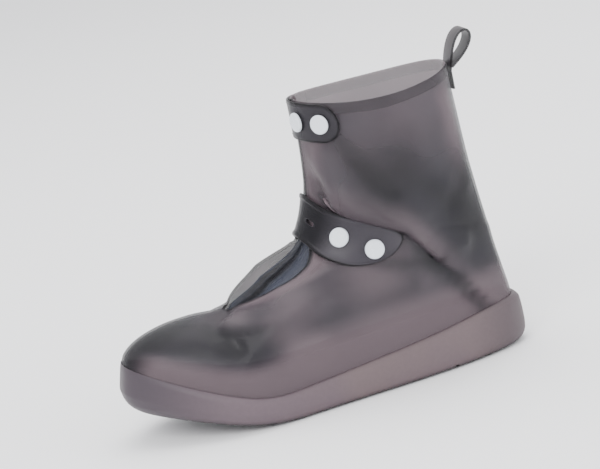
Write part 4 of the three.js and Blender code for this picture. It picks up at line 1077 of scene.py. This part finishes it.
def new_tree(name, inputs):
    """A geometry tree with named inputs; gives the tree and the sockets that hold its inputs."""
    tree = bpy.data.node_groups.new(name, "GeometryNodeTree")
    tree.interface.new_socket(name="Geometry", in_out="INPUT", socket_type="NodeSocketGeometry")
    tree.interface.new_socket(name="Geometry", in_out="OUTPUT", socket_type="NodeSocketGeometry")
    for key, kind in inputs.items():
        tree.interface.new_socket(name=key, in_out="INPUT", socket_type=f"NodeSocket{kind}")
    return tree, tree.nodes.new("NodeGroupInput").outputs


def finish_tree(tree, geometry, material):
    whole = add_node(tree, "GeometryNodeRealizeInstances", {"Geometry": geometry})
    coated = add_node(tree, "GeometryNodeSetMaterial", {"Geometry": whole.outputs[0], "Material": material})
    add_node(tree, "NodeGroupOutput", {"Geometry": coated.outputs[0]})


def keep_result(piece, modifier):
    """Gives an object the mesh that its modifier makes, and removes the modifier."""
    bpy.context.view_layer.update()
    seen = piece.evaluated_get(bpy.context.evaluated_depsgraph_get())
    made = bpy.data.meshes.new_from_object(seen)
    piece.modifiers.remove(modifier)
    old = piece.data
    piece.data = made
    bpy.data.meshes.remove(old)


def run_tree(piece, tree, values):
    """Runs a tree on an object with the given inputs, and keeps the result as its plain mesh."""
    modifier = piece.modifiers.new(tree.name, "NODES")
    modifier.node_group = tree
    for item in tree.interface.items_tree:
        if item.in_out == "INPUT" and item.name in values:
            modifier[item.identifier] = values[item.name]
    keep_result(piece, modifier)


def groove_tree():
    """Cuts a row of straight grooves across a solid: boxes on a line, taken away from it."""
    inputs = {key: "Float" for key in ("Start", "Pitch", "Groove", "Length", "Depth", "Tilt", "Middle")}
    tree, given = new_tree("tread_grooves", {**inputs, "Count": "Int", "Rubber": "Material"})
    start = vector(tree, X=given["Start"], Y=given["Middle"])
    step = vector(tree, X=given["Pitch"])
    line = add_node(tree, "GeometryNodeMeshLine", {"Count": given["Count"], "Start Location": start, "Offset": step})
    # The boxes stand half above the floor's level.
    size = vector(tree, X=given["Groove"], Y=given["Length"], Z=reckoned(tree, "MULTIPLY", given["Depth"], 2.0))
    box = add_node(tree, "GeometryNodeMeshCube", {"Size": size}).outputs["Mesh"]
    sockets = {"Points": line.outputs["Mesh"], "Instance": box, "Rotation": vector(tree, Y=given["Tilt"])}
    boxes = add_node(tree, "GeometryNodeInstanceOnPoints", sockets)
    solid = add_node(tree, "GeometryNodeRealizeInstances", {"Geometry": boxes.outputs[0]})
    sockets = {"Mesh 1": given["Geometry"], "Mesh 2": solid.outputs[0]}
    cut = add_node(tree, "GeometryNodeMeshBoolean", sockets, operation="DIFFERENCE", solver="EXACT")
    finish_tree(tree, cut.outputs["Mesh"], given["Rubber"])
    return tree


def raised_face(tree, body, top, rise, scale):
    """Raises a body's top face and shrinks it; gives the body and its new top."""
    sockets = {"Mesh": body, "Selection": top, "Offset Scale": rise}
    raised = add_node(tree, "GeometryNodeExtrudeMesh", sockets, mode="FACES")
    top = raised.outputs["Top"]
    scaled = add_node(
        tree, "GeometryNodeScaleElements", {"Geometry": raised.outputs["Mesh"], "Selection": top, "Scale": scale}
    )
    return scaled.outputs[0], top


def cylinder(tree, vertices, radius, depth):
    sockets = {"Vertices": vertices, "Radius": radius, "Depth": depth}
    return add_node(tree, "GeometryNodeMeshCylinder", sockets, fill_type="NGON").outputs


def moved_up(tree, mesh, height):
    sockets = {"Geometry": mesh, "Translation": vector(tree, Z=height)}
    return add_node(tree, "GeometryNodeTransform", sockets).outputs[0]


# A snap's rim turns over in steps, each with its rise and its inset as shares of the bevel, then its face sinks in
# steps, each with its rise as a share of the dish and the size that is left.
RIM_TURNS = ((0.45, 0.12), (0.35, 0.3), (0.2, 0.58))
FACE_SINKS = ((0.0, 0.93), (-1.0, 0.93), (0.0, 0.4))


def snap_tree():
    """A turned disc with a bevelled rim and a shallow dish, and a pin behind it, set on each point along its axis."""
    inputs = {key: "Float" for key in ("Radius", "Thickness", "Bevel", "Dish", "Pin Radius", "Pin Length", "Seat")}
    tree, given = new_tree("snap_disc", {**inputs, "Plastic": "Material"})
    straight = reckoned(tree, "SUBTRACT", given["Thickness"], given["Bevel"])
    disc = cylinder(tree, 64, given["Radius"], straight)
    body, top = disc["Mesh"], disc["Top"]
    for rise_share, inset_share in RIM_TURNS:
        rise = reckoned(tree, "MULTIPLY", given["Bevel"], rise_share)
        inset = reckoned(tree, "MULTIPLY", given["Bevel"], inset_share)
        left = reckoned(tree, "SUBTRACT", 1.0, reckoned(tree, "DIVIDE", inset, given["Radius"]))
        body, top = raised_face(tree, body, top, rise, left)
    for sink_share, left in FACE_SINKS:
        body, top = raised_face(tree, body, top, reckoned(tree, "MULTIPLY", given["Dish"], sink_share), left)
    lift = reckoned(tree, "ADD", reckoned(tree, "MULTIPLY", straight, 0.5), given["Seat"])
    pin = cylinder(tree, 24, given["Pin Radius"], given["Pin Length"])["Mesh"]
    pin_lift = reckoned(tree, "ADD", reckoned(tree, "MULTIPLY", given["Pin Length"], -0.5), given["Seat"])
    both = add_node(tree, "GeometryNodeJoinGeometry")
    for part in (moved_up(tree, body, lift), moved_up(tree, pin, pin_lift)):
        tree.links.new(part, both.inputs[0])
    axis = add_node(tree, "GeometryNodeInputNamedAttribute", {"Name": "axis"}, data_type="FLOAT_VECTOR")
    sockets = {"Vector": axis.outputs["Attribute"]}
    turned = add_node(tree, "FunctionNodeAlignRotationToVector", sockets, axis="Z")
    spots = add_node(tree, "GeometryNodeMeshToPoints", {"Mesh": given["Geometry"]})
    sockets = {"Points": spots.outputs[0], "Instance": both.outputs[0], "Rotation": turned.outputs[0]}
    placed = add_node(tree, "GeometryNodeInstanceOnPoints", sockets)
    finish_tree(tree, placed.outputs[0], given["Plastic"])
    return tree


def loop_tree():
    """A flat strip with rounded edges that follows a path."""
    inputs = {"Width": "Float", "Thickness": "Float", "Edge": "Float", "Rubber": "Material"}
    tree, given = new_tree("strip_along_path", inputs)
    path = add_node(tree, "GeometryNodeMeshToCurve", {"Mesh": given["Geometry"]})
    upright = add_node(tree, "GeometryNodeSetCurveNormal", {"Curve": path.outputs[0]})
    sockets = {"Width": given["Thickness"], "Height": given["Width"]}
    profile = add_node(tree, "GeometryNodeCurvePrimitiveQuadrilateral", sockets)
    sockets = {"Curve": profile.outputs[0], "Radius": given["Edge"], "Count": 4}
    profile = add_node(tree, "GeometryNodeFilletCurve", sockets, mode="POLY")
    sockets = {"Curve": upright.outputs[0], "Profile Curve": profile.outputs[0], "Fill Caps": True}
    strip = add_node(tree, "GeometryNodeCurveToMesh", sockets)
    finish_tree(tree, strip.outputs[0], given["Rubber"])
    return tree


def loop_path():
    """The pull loop's middle line: up the back of the collar, round a leaning drop and back to its foot."""
    wall_x = COLLAR_BACK_X + HEM_THICKNESS + CLEARANCE
    foot = np.array([wall_x + LOOP_THICKNESS / 2, COLLAR_HEIGHT - LOOP_FOOT])
    lean = np.array([LOOP_LEAN, LOOP_RISE], float)
    length = np.linalg.norm(lean)
    up = lean / length
    side = np.array([up[1], -up[0]])
    wall = LOOP_THICKNESS / 2
    t = np.linspace(2 * math.pi, 0, 73)[1:-1]
    along = (length - 2 * wall) * (1 - np.cos(t)) / 2 + wall
    across = (LOOP_BELLY + LOOP_THICKNESS - wall) * LOOP_FULLNESS * np.sin(t) * np.sin(t / 2) ** LOOP_POINT
    drop = foot + along[:, None] * up + across[:, None] * side
    heights = np.linspace(COLLAR_HEIGHT - LOOP_TAIL, foot[1] - 1, 12)
    tail = np.stack([np.full(12, foot[0]), heights], axis=-1)
    line = np.concatenate([tail, drop[4:-4]])
    return np.stack([line[:, 0], np.zeros(len(line)), line[:, 1]], axis=-1)


# Materials

# Tints stored on the meshes: warm holds painted highlights and lighter areas, pale painted light through single sheets,
# shade painted shade and doubled sheets, edge darker edges
TINTS = ("warm", "pale", "shade", "edge")
PALENESS = 1.7  # how much lighter than the warm colour pale areas are


def linear(code):
    """An sRGB hex colour as linear values."""
    parts = [int(code[i : i + 2], 16) / 255 for i in (1, 3, 5)]
    return tuple(p / 12.92 if p <= 0.04045 else ((p + 0.055) / 1.055) ** 2.4 for p in parts)


def opaque(colour):
    return (*colour[:3], 1.0)


def new_material(name):
    """An empty material; gives it with its node tree and the place on the object."""
    material = bpy.data.materials.new(name)
    material.use_nodes = True
    tree = material.node_tree
    tree.nodes.clear()
    return material, tree, add_node(tree, "ShaderNodeTexCoord").outputs["Object"]


def noise(tree, place, scale, detail, roughness=0.5):
    sockets = {"Vector": place, "Scale": scale, "Detail": detail, "Roughness": roughness}
    return add_node(tree, "ShaderNodeTexNoise", sockets).outputs["Fac"]


def ranged(tree, value, low, high, to_low=0.0, to_high=1.0):
    """Maps the range from low to high onto another, and holds what lies outside at its ends."""
    sockets = {"Value": value, "From Min": low, "From Max": high, "To Min": to_low, "To Max": to_high}
    return add_node(tree, "ShaderNodeMapRange", sockets).outputs[0]


def mixed(tree, share, first, second, blend_type="MIX"):
    sockets = {0: share, 6: first, 7: second}
    return add_node(tree, "ShaderNodeMix", sockets, data_type="RGBA", blend_type=blend_type).outputs[2]


def bumped(tree, height, strength, distance, **over):
    sockets = {"Height": height, "Strength": strength, "Distance": distance, **over}
    return add_node(tree, "ShaderNodeBump", sockets).outputs[0]


def finish_material(tree, sockets):
    surface = add_node(tree, "ShaderNodeBsdfPrincipled", sockets)
    add_node(tree, "ShaderNodeOutputMaterial", {"Surface": surface.outputs[0]})


def soft_rubber(name, colour_names, see, gloss):
    """Smoke-tinted TPE, injection moulded thin and left satin. The eye gets a cloudy grey with bluish and mauve
    areas, since the tint is uneven and what is behind shows through, and a soft wide gleam; a cut or beaded edge looks
    darker, because one looks along the sheet there. The mesh's tints lay painted shade and painted light on top. The
    colours are those of dark, light and warm areas, the warm one also taking painted highlights and painted light, of
    doubled or shaded areas, which take the painted shade, and of edges; see is how much each face covers and gloss is
    its roughness."""
    colours = bpy.context.scene.overshoe_colours
    dark, light, warm, shade_and_doubled, edge = (getattr(colours, key) for key in colour_names)
    material, tree, place = new_material(name)
    tints = {key: add_node(tree, "ShaderNodeAttribute", attribute_name=key).outputs["Fac"] for key in TINTS}
    # Clouds about 45 mm across, warm patches about 80 mm across and a fine mottle about 3 mm across
    clouds = noise(tree, place, 22.0, 3.0, 0.55)
    patches = noise(tree, place, 12.0, 2.0)
    mottle = noise(tree, place, 330.0, 4.0)
    # Warm patches at random, and the warm tint the mesh lays on as painted highlights and painted light
    warmth = reckoned(tree, "MAXIMUM", ranged(tree, patches, 0.48, 0.66, 0.0, 0.35), tints["warm"])
    base = mixed(tree, ranged(tree, clouds, 0.35, 0.65), opaque(dark), opaque(light))
    base = mixed(tree, warmth, base, opaque(warm))
    base = mixed(tree, 1.0, base, ranged(tree, mottle, 0.3, 0.7, 0.97, 1.03), "MULTIPLY")
    # Painted light: the inside of a single sheet with light behind it turns warm and lighter
    base = mixed(tree, tints["pale"], base, opaque([part * PALENESS for part in warm]))
    # Painted shade, and doubled sheets, take the dark colour
    base = mixed(tree, tints["shade"], base, opaque(shade_and_doubled))
    base = mixed(tree, tints["edge"], base, opaque(edge))
    # The mould's satin grain, drawn about 1.2 mm across, and faint flow waves about 12 mm across
    waves = bumped(tree, noise(tree, place, 85.0, 2.0), 0.12, 0.0012)
    grain = bumped(tree, noise(tree, place, 850.0, 2.0), 0.03, 0.00015, Normal=waves)
    rough = ranged(tree, clouds, 0.3, 0.7, gloss, gloss + 0.12)
    sockets = {"Base Color": base, "Roughness": rough, "Normal": grain}
    finish_material(tree, {**sockets, "IOR": 1.49, "Specular IOR Level": 0.18, "Alpha": see})
    return material


def snap_acetal(colour):
    """White acetal, injection moulded and polished. The eye gets a clean, slightly cool white disc with a sharp
    small gleam and barely seen moulding swirl."""
    material, tree, place = new_material("white_acetal")
    # Swirl about 4 mm across
    swirl = noise(tree, place, 250.0, 2.0)
    base = mixed(tree, swirl, opaque([part * 0.93 for part in colour]), opaque(colour))
    rough = ranged(tree, swirl, 0.0, 1.0, 0.2, 0.32)
    bump = bumped(tree, swirl, 0.1, 0.0001)
    finish_material(tree, {"Base Color": base, "Roughness": rough, "Normal": bump, "IOR": 1.48})
    return material


def studio_floor(colour):
    """Pale matt board, rolled and painted. The eye gets an even near-white with almost no texture."""
    material, tree, place = new_material("painted_board")
    # Roller texture about 2 mm across
    bump = bumped(tree, noise(tree, place, 500.0, 1.0), 0.05, 0.0002)
    sockets = {"Base Color": opaque(colour), "Roughness": 0.9, "Normal": bump, "Specular IOR Level": 0.2}
    finish_material(tree, sockets)
    return material


# What a user may change


def length_property(name, description, size):
    return FloatProperty(name=name, description=description, default=size, unit="LENGTH")


def count_property(name, description, count):
    return IntProperty(name=name, description=description, default=count)


def angle_property(name, description, angle):
    return FloatProperty(name=name, description=description, default=angle, subtype="ANGLE")


class OvershoeSizes(bpy.types.PropertyGroup):
    cap_radius: length_property("Snap cap radius", "Half the width of a snap's cap", CAP_RADIUS * MM)
    cap_thickness: length_property("Snap cap thickness", "Height of a snap's cap", CAP_THICKNESS * MM)
    loop_width: length_property("Pull loop width", "Width of the loop's strip", LOOP_WIDTH * MM)
    loop_thickness: length_property("Pull loop thickness", "The strip's thickness", LOOP_THICKNESS * MM)
    groove_width: length_property("Tread groove", "Width of a tread groove", TREAD_GROOVE * MM)
    groove_depth: length_property("Tread depth", "Depth of a tread groove", TREAD_DEPTH * MM)
    front_grooves: count_property("Front grooves", "Grooves under the ball of the foot", TREAD_FRONT_COUNT)
    heel_grooves: count_property("Heel grooves", "Grooves under the heel", TREAD_HEEL_COUNT)
    camera_distance: length_property("Camera distance", "From the camera to the overshoe's middle", CAMERA_DISTANCE)
    camera_roll: angle_property("Camera roll", "Tilt of the picture, heel up", CAMERA_ROLL)


def colour_property(name, description, code):
    return FloatVectorProperty(name=name, description=description, subtype="COLOR", size=3, default=linear(code))


class OvershoeColours(bpy.types.PropertyGroup):
    upper_dark: colour_property("Upper, dark", "Bluish dark areas of the upper", "#212027")
    upper_light: colour_property("Upper, light", "Lighter grey areas of the upper", "#3a373d")
    # The warm colour also serves the upper's painted highlights and painted light through its lips and, made lighter,
    # its painted pale inside.
    upper_warm: colour_property("Upper, warm", "Mauve areas of the upper", "#63575c")
    film: colour_property("Gusset", "The gusset's bluish film", "#2b2d38")
    film_light: colour_property("Gusset, light", "Lighter areas of the film", "#3b3e4a")
    sole: colour_property("Sole", "The sole's side", "#63575d")
    sole_warm: colour_property("Sole, warm", "Warm areas of the sole", "#71635f")
    strap: colour_property("Straps", "The strap, the tab and the loop", "#464348")
    # This colour serves the painted shade in creases, under the roll and down the heel as well as doubled sheets, and
    # darkens the sole's lower edge.
    shade_and_doubled: colour_property("Doubled areas", "Where sheets lie double: the hem and the strap's front", "#18171b")
    edge: colour_property("Edges", "Cut and beaded edges", "#171518")
    snap: colour_property("Snaps", "The snaps' plastic", "#e2e8ef")
    floor: colour_property("Floor", "The studio floor", "#fafafb")


def assign(piece, material):
    piece.data.materials.clear()
    piece.data.materials.append(material)


def declare(piece, slot, *nodes):
    """Lets a piece stand for its CAD nodes and ride on the one body."""
    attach(piece, "root")
    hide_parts(*nodes)


class OVERSHOE_OT_upper(bpy.types.Operator):
    """Makes the boot upper: one moulded sheet with folds, lips and hem"""

    bl_idname = "overshoe.upper"
    bl_label = "Upper"

    def execute(self, context):
        upper = upper_object()
        colours = ("upper_dark", "upper_light", "upper_warm", "shade_and_doubled", "edge")
        assign(upper, soft_rubber("smoke_tpe", colours, 0.68, 0.34))
        declare(upper, "smoke_rubber", "upper")
        return {"FINISHED"}


class OVERSHOE_OT_gusset(bpy.types.Operator):
    """Makes the pleated gusset behind the front opening"""

    bl_idname = "overshoe.gusset"
    bl_label = "Gusset"

    def execute(self, context):
        gusset = gusset_object()
        colours = ("film", "film_light", "film_light", "shade_and_doubled", "edge")
        assign(gusset, soft_rubber("smoke_tpe_film", colours, 0.74, 0.4))
        declare(gusset, "smoke_rubber", "gusset")
        return {"FINISHED"}


class OVERSHOE_OT_outsole(bpy.types.Operator):
    """Makes the cup sole and cuts its tread"""

    bl_idname = "overshoe.outsole"
    bl_label = "Outsole"

    def execute(self, context):
        colours = ("sole", "sole", "sole_warm", "upper_light", "shade_and_doubled")
        rubber = soft_rubber("smoke_tpe_sole", colours, 0.9, 0.38)
        sole = sole_object()
        assign(sole, rubber)
        self.cut_tread(sole, rubber, context.scene.overshoe_sizes)
        places = drawn_places(sole.data)
        sole.data.vertices.foreach_set("co", to_frame(spring_toe(places)).ravel())
        # Painted shade darkens the band where it turns away round the toe and the heel; it is also darker along its
        # lower edge.
        end_shade = 0.7 * smoothstep(-places[:, 0], 70, 146) + 0.45 * smoothstep(places[:, 0], 95, 146)
        store(sole.data, {"shade": end_shade, "edge": 0.6 * (1 - smoothstep(places[:, 2], 1, 5))})
        sole.data.update()
        smooth(sole.data, 38)
        declare(sole, "sole_rubber", "outsole")
        return {"FINISHED"}

    def cut_tread(self, sole, rubber, sizes):
        """Cuts the grooves of the front and the heel, the notch before the heel and the rise at the waist."""
        tree = groove_tree()
        breast = HEEL_X - HEEL_BREAST
        front = TOE_X + FOOT["front"][4] * SOLE_LENGTH + TREAD_PITCH
        whole_width = BALL_WIDTH + 4 * SOLE_BULGE
        waist_tilt = math.atan(WAIST_RISE / WAIST_LENGTH)
        waist_middle = breast - WAIST_LENGTH / 2
        cuts = (
            (front, sizes.groove_width, TREAD_WIDTH, sizes.groove_depth, sizes.front_grooves, 0),
            (breast + TREAD_PITCH, sizes.groove_width, TREAD_WIDTH, sizes.groove_depth, sizes.heel_grooves, 0),
            (breast, sizes.groove_width, whole_width, HEEL_NOTCH_DEPTH * MM, 1, 0),
            (waist_middle, WAIST_LENGTH * MM, whole_width, WAIST_RISE / 2 * MM, 1, -waist_tilt),
        )
        shared = {"Pitch": TREAD_PITCH * MM, "Middle": SHIFT[1] * MM, "Rubber": rubber}
        for start, groove, length, depth, count, tilt in cuts:
            row = {"Start": (start + SHIFT[0]) * MM, "Groove": groove, "Length": length * MM, "Depth": depth}
            run_tree(sole, tree, {**shared, **row, "Count": count, "Tilt": tilt})


class OVERSHOE_OT_straps(bpy.types.Operator):
    """Makes the instep strap with its slot, and the collar tab"""

    bl_idname = "overshoe.straps"
    bl_label = "Strap and tab"

    def execute(self, context):
        colours = ("strap", "upper_light", "upper_light", "shade_and_doubled", "edge")
        rubber = soft_rubber("smoke_tpe_strap", colours, 0.8, 0.3)
        strap = strap_object()
        tab = tab_object()
        assign(strap, rubber)
        assign(tab, rubber)
        self.cut_slot(strap)
        declare(strap, "strap_rubber", "instep_strap")
        declare(tab, "strap_rubber", "collar_tab")
        return {"FINISHED"}

    def cut_slot(self, strap):
        """Takes a straight slot with round ends out of the strap's front."""
        middle = STRAP_LAY.place(STRAP_SLOT_PLACE, 0.0, 0.0)
        axis = STRAP_LAY.axis(STRAP_SLOT_PLACE)
        along = unit(STRAP_LAY.place(STRAP_SLOT_PLACE + 1, 0.0, 0.0) - middle)
        side = np.cross(axis, along)
        radius = STRAP_SLOT_WIDTH / 2
        straight = (STRAP_SLOT_LENGTH - STRAP_SLOT_WIDTH) / 2
        turns = np.linspace(-math.pi / 2, math.pi / 2, 13)
        ring = [(straight + radius * math.cos(a), radius * math.sin(a)) for a in turns]
        ring += [(-straight - radius * math.cos(a), -radius * math.sin(a)) for a in turns]
        count = len(ring)
        points = [middle + along * u + side * v + axis * w for w in (-WALL, 3 * STRAP_THICKNESS) for u, v in ring]
        faces = [tuple(range(count))[::-1], tuple(range(count, 2 * count))]
        faces += [(i, (i + 1) % count, count + (i + 1) % count, count + i) for i in range(count)]
        cutter = new_object("slot_cutter", points, faces)
        cut = strap.modifiers.new("slot", "BOOLEAN")
        cut.operation = "DIFFERENCE"
        cut.object = cutter
        cut.solver = "EXACT"
        keep_result(strap, cut)
        bpy.data.objects.remove(cutter)
        smooth(strap.data, 45)


class OVERSHOE_OT_pull_loop(bpy.types.Operator):
    """Makes the pull loop at the back of the collar"""

    bl_idname = "overshoe.pull_loop"
    bl_label = "Pull loop"

    def execute(self, context):
        sizes = context.scene.overshoe_sizes
        colours = ("upper_light", "upper_warm", "upper_warm", "shade_and_doubled", "edge")
        rubber = soft_rubber("smoke_tpe_loop", colours, 0.82, 0.3)
        mesh = bpy.data.meshes.new("pull_loop_skin")
        path = to_frame(loop_path())
        mesh.from_pydata(path.tolist(), [(i, i + 1) for i in range(len(path) - 1)], [])
        loop = linked("pull_loop_skin", mesh)
        values = {"Width": sizes.loop_width, "Thickness": sizes.loop_thickness, "Edge": LOOP_EDGE * MM}
        run_tree(loop, loop_tree(), {**values, "Rubber": rubber})
        # The strip looks darker along its two cut edges.
        off_middle = np.abs(drawn_places(loop.data)[:, 1])
        store(loop.data, {"edge": smoothstep(off_middle, LOOP_WIDTH / 2 - 1.2, LOOP_WIDTH / 2 - 0.4)})
        smooth(loop.data, 60)
        declare(loop, "strap_rubber", "pull_loop")
        return {"FINISHED"}


class OVERSHOE_OT_snaps(bpy.types.Operator):
    """Makes the snaps: a cap with a pin through the wall, and a ring inside, for each"""

    bl_idname = "overshoe.snaps"
    bl_label = "Snaps"

    def execute(self, context):
        sizes = context.scene.overshoe_sizes
        plastic = snap_acetal(context.scene.overshoe_colours.snap)
        tree = snap_tree()
        keys = ("Radius", "Thickness", "Bevel", "Dish", "Pin Radius", "Pin Length", "Seat")
        base = (BASE_RADIUS, BASE_THICKNESS, BASE_BEVEL, BASE_DISH, POST_RADIUS + CLEARANCE, PIN_STUB, WALL + BASE_SEAT)
        rows = (
            ("strap_snap", STRAP_LAY, STRAP_SNAPS, LAID_GAP + STRAP_FIELD),
            ("collar_snap", TAB_LAY, TAB_SNAPS, LAID_GAP + TAB_THICKNESS),
        )
        for name, lay, lengths, face in rows:
            seat = face + CAP_SEAT
            pin = seat + WALL + BASE_SEAT + BASE_THICKNESS / 2
            cap = (sizes.cap_radius / MM, sizes.cap_thickness / MM, CAP_BEVEL, CAP_DISH, POST_RADIUS, pin, seat)
            for end, length in zip(("front", "back"), lengths):
                place, axis = lay.place(length, 0.0, 0.0), lay.axis(length)
                for kind, values, way in (("cap", cap, axis), ("base", base, -axis)):
                    values = {key: value * MM for key, value in zip(keys, values)}
                    self.snap_piece(f"{name}_{kind}_{end}", place, way, tree, {**values, "Plastic": plastic})
        return {"FINISHED"}

    def snap_piece(self, node, place, axis, tree, values):
        mesh = bpy.data.meshes.new(f"{node}_disc")
        mesh.from_pydata([to_frame(place).tolist()], [], [])
        layer = mesh.attributes.new("axis", "FLOAT_VECTOR", "POINT")
        layer.data.foreach_set("vector", np.asarray(axis, np.float32).ravel())
        piece = linked(f"{node}_disc", mesh)
        run_tree(piece, tree, values)
        smooth(piece.data, 35)
        declare(piece, "snap_plastic", node)


class OVERSHOE_OT_stage(bpy.types.Operator):
    """Makes the floor, the studio lights and the camera"""

    bl_idname = "overshoe.stage"
    bl_label = "Stage"

    def execute(self, context):
        scene = context.scene
        mesh = bpy.data.meshes.new("floor")
        low = cad_box[0].z
        corners = [(x * FLOOR_REACH, y * FLOOR_REACH, low) for x, y in ((-1, -1), (1, -1), (1, 1), (-1, 1))]
        mesh.from_pydata(corners, [], [(0, 1, 2, 3)])
        floor = linked("floor", mesh)
        assign(floor, studio_floor(scene.overshoe_colours.floor))
        world = bpy.data.worlds.new("studio")
        scene.world = world
        world.use_nodes = True
        world.node_tree.nodes.clear()
        glow = add_node(world.node_tree, "ShaderNodeBackground", {"Color": WORLD_COLOUR, "Strength": WORLD_STRENGTH})
        add_node(world.node_tree, "ShaderNodeOutputWorld", {"Surface": glow.outputs[0]})
        middle = (cad_box[0] + cad_box[1]) / 2
        for name, place, size, power in LAMPS:
            lamp = bpy.data.lights.new(name, "AREA")
            lamp.shape = "SQUARE"
            lamp.size = size
            lamp.energy = power
            holder = linked(name, lamp)
            holder.location = middle + Vector(place)
            holder.rotation_euler = (-Vector(place)).to_track_quat("-Z", "Y").to_euler()
        ahead = math.cos(CAMERA_ELEVATION)
        back = Vector(
            (math.sin(CAMERA_AZIMUTH) * ahead, -math.cos(CAMERA_AZIMUTH) * ahead, math.sin(CAMERA_ELEVATION))
        )
        eye = bpy.data.cameras.new("camera")
        eye.lens = CAMERA_LENS
        eye.sensor_width = SENSOR_WIDTH
        camera = linked("camera", eye)
        camera.location = middle + back * scene.overshoe_sizes.camera_distance
        level_view = (-back).to_track_quat("-Z", "Y")
        camera.rotation_mode = "QUATERNION"
        camera.rotation_quaternion = level_view @ Quaternion((0, 0, 1), -scene.overshoe_sizes.camera_roll)
        scene.camera = camera
        return {"FINISHED"}


class OVERSHOE_PT_panel(bpy.types.Panel):
    """Lists the overshoe's operators, sizes and colours"""

    bl_idname = "OVERSHOE_PT_panel"
    bl_label = "Overshoe"
    bl_space_type = "VIEW_3D"
    bl_region_type = "UI"
    bl_category = "Overshoe"

    def draw(self, context):
        for operator in OPERATORS:
            self.layout.operator(operator.bl_idname)
        for group in (context.scene.overshoe_sizes, context.scene.overshoe_colours):
            box = self.layout.box()
            for key in type(group).__annotations__:
                box.prop(group, key)


OPERATORS = (
    OVERSHOE_OT_stage,
    OVERSHOE_OT_upper,
    OVERSHOE_OT_gusset,
    OVERSHOE_OT_outsole,
    OVERSHOE_OT_straps,
    OVERSHOE_OT_pull_loop,
    OVERSHOE_OT_snaps,
)
CLASSES = (OvershoeSizes, OvershoeColours, *OPERATORS, OVERSHOE_PT_panel)


def register():
    for each in CLASSES:
        bpy.utils.register_class(each)
    bpy.types.Scene.overshoe_sizes = PointerProperty(type=OvershoeSizes)
    bpy.types.Scene.overshoe_colours = PointerProperty(type=OvershoeColours)


def unregister():
    del bpy.types.Scene.overshoe_colours
    del bpy.types.Scene.overshoe_sizes
    for each in reversed(CLASSES):
        bpy.utils.unregister_class(each)


def main():
    register()
    bpy.ops.overshoe.stage()
    bpy.ops.overshoe.upper()
    bpy.ops.overshoe.gusset()
    bpy.ops.overshoe.outsole()
    bpy.ops.overshoe.straps()
    bpy.ops.overshoe.pull_loop()
    bpy.ops.overshoe.snaps()


if __name__ == "__main__":
    main()
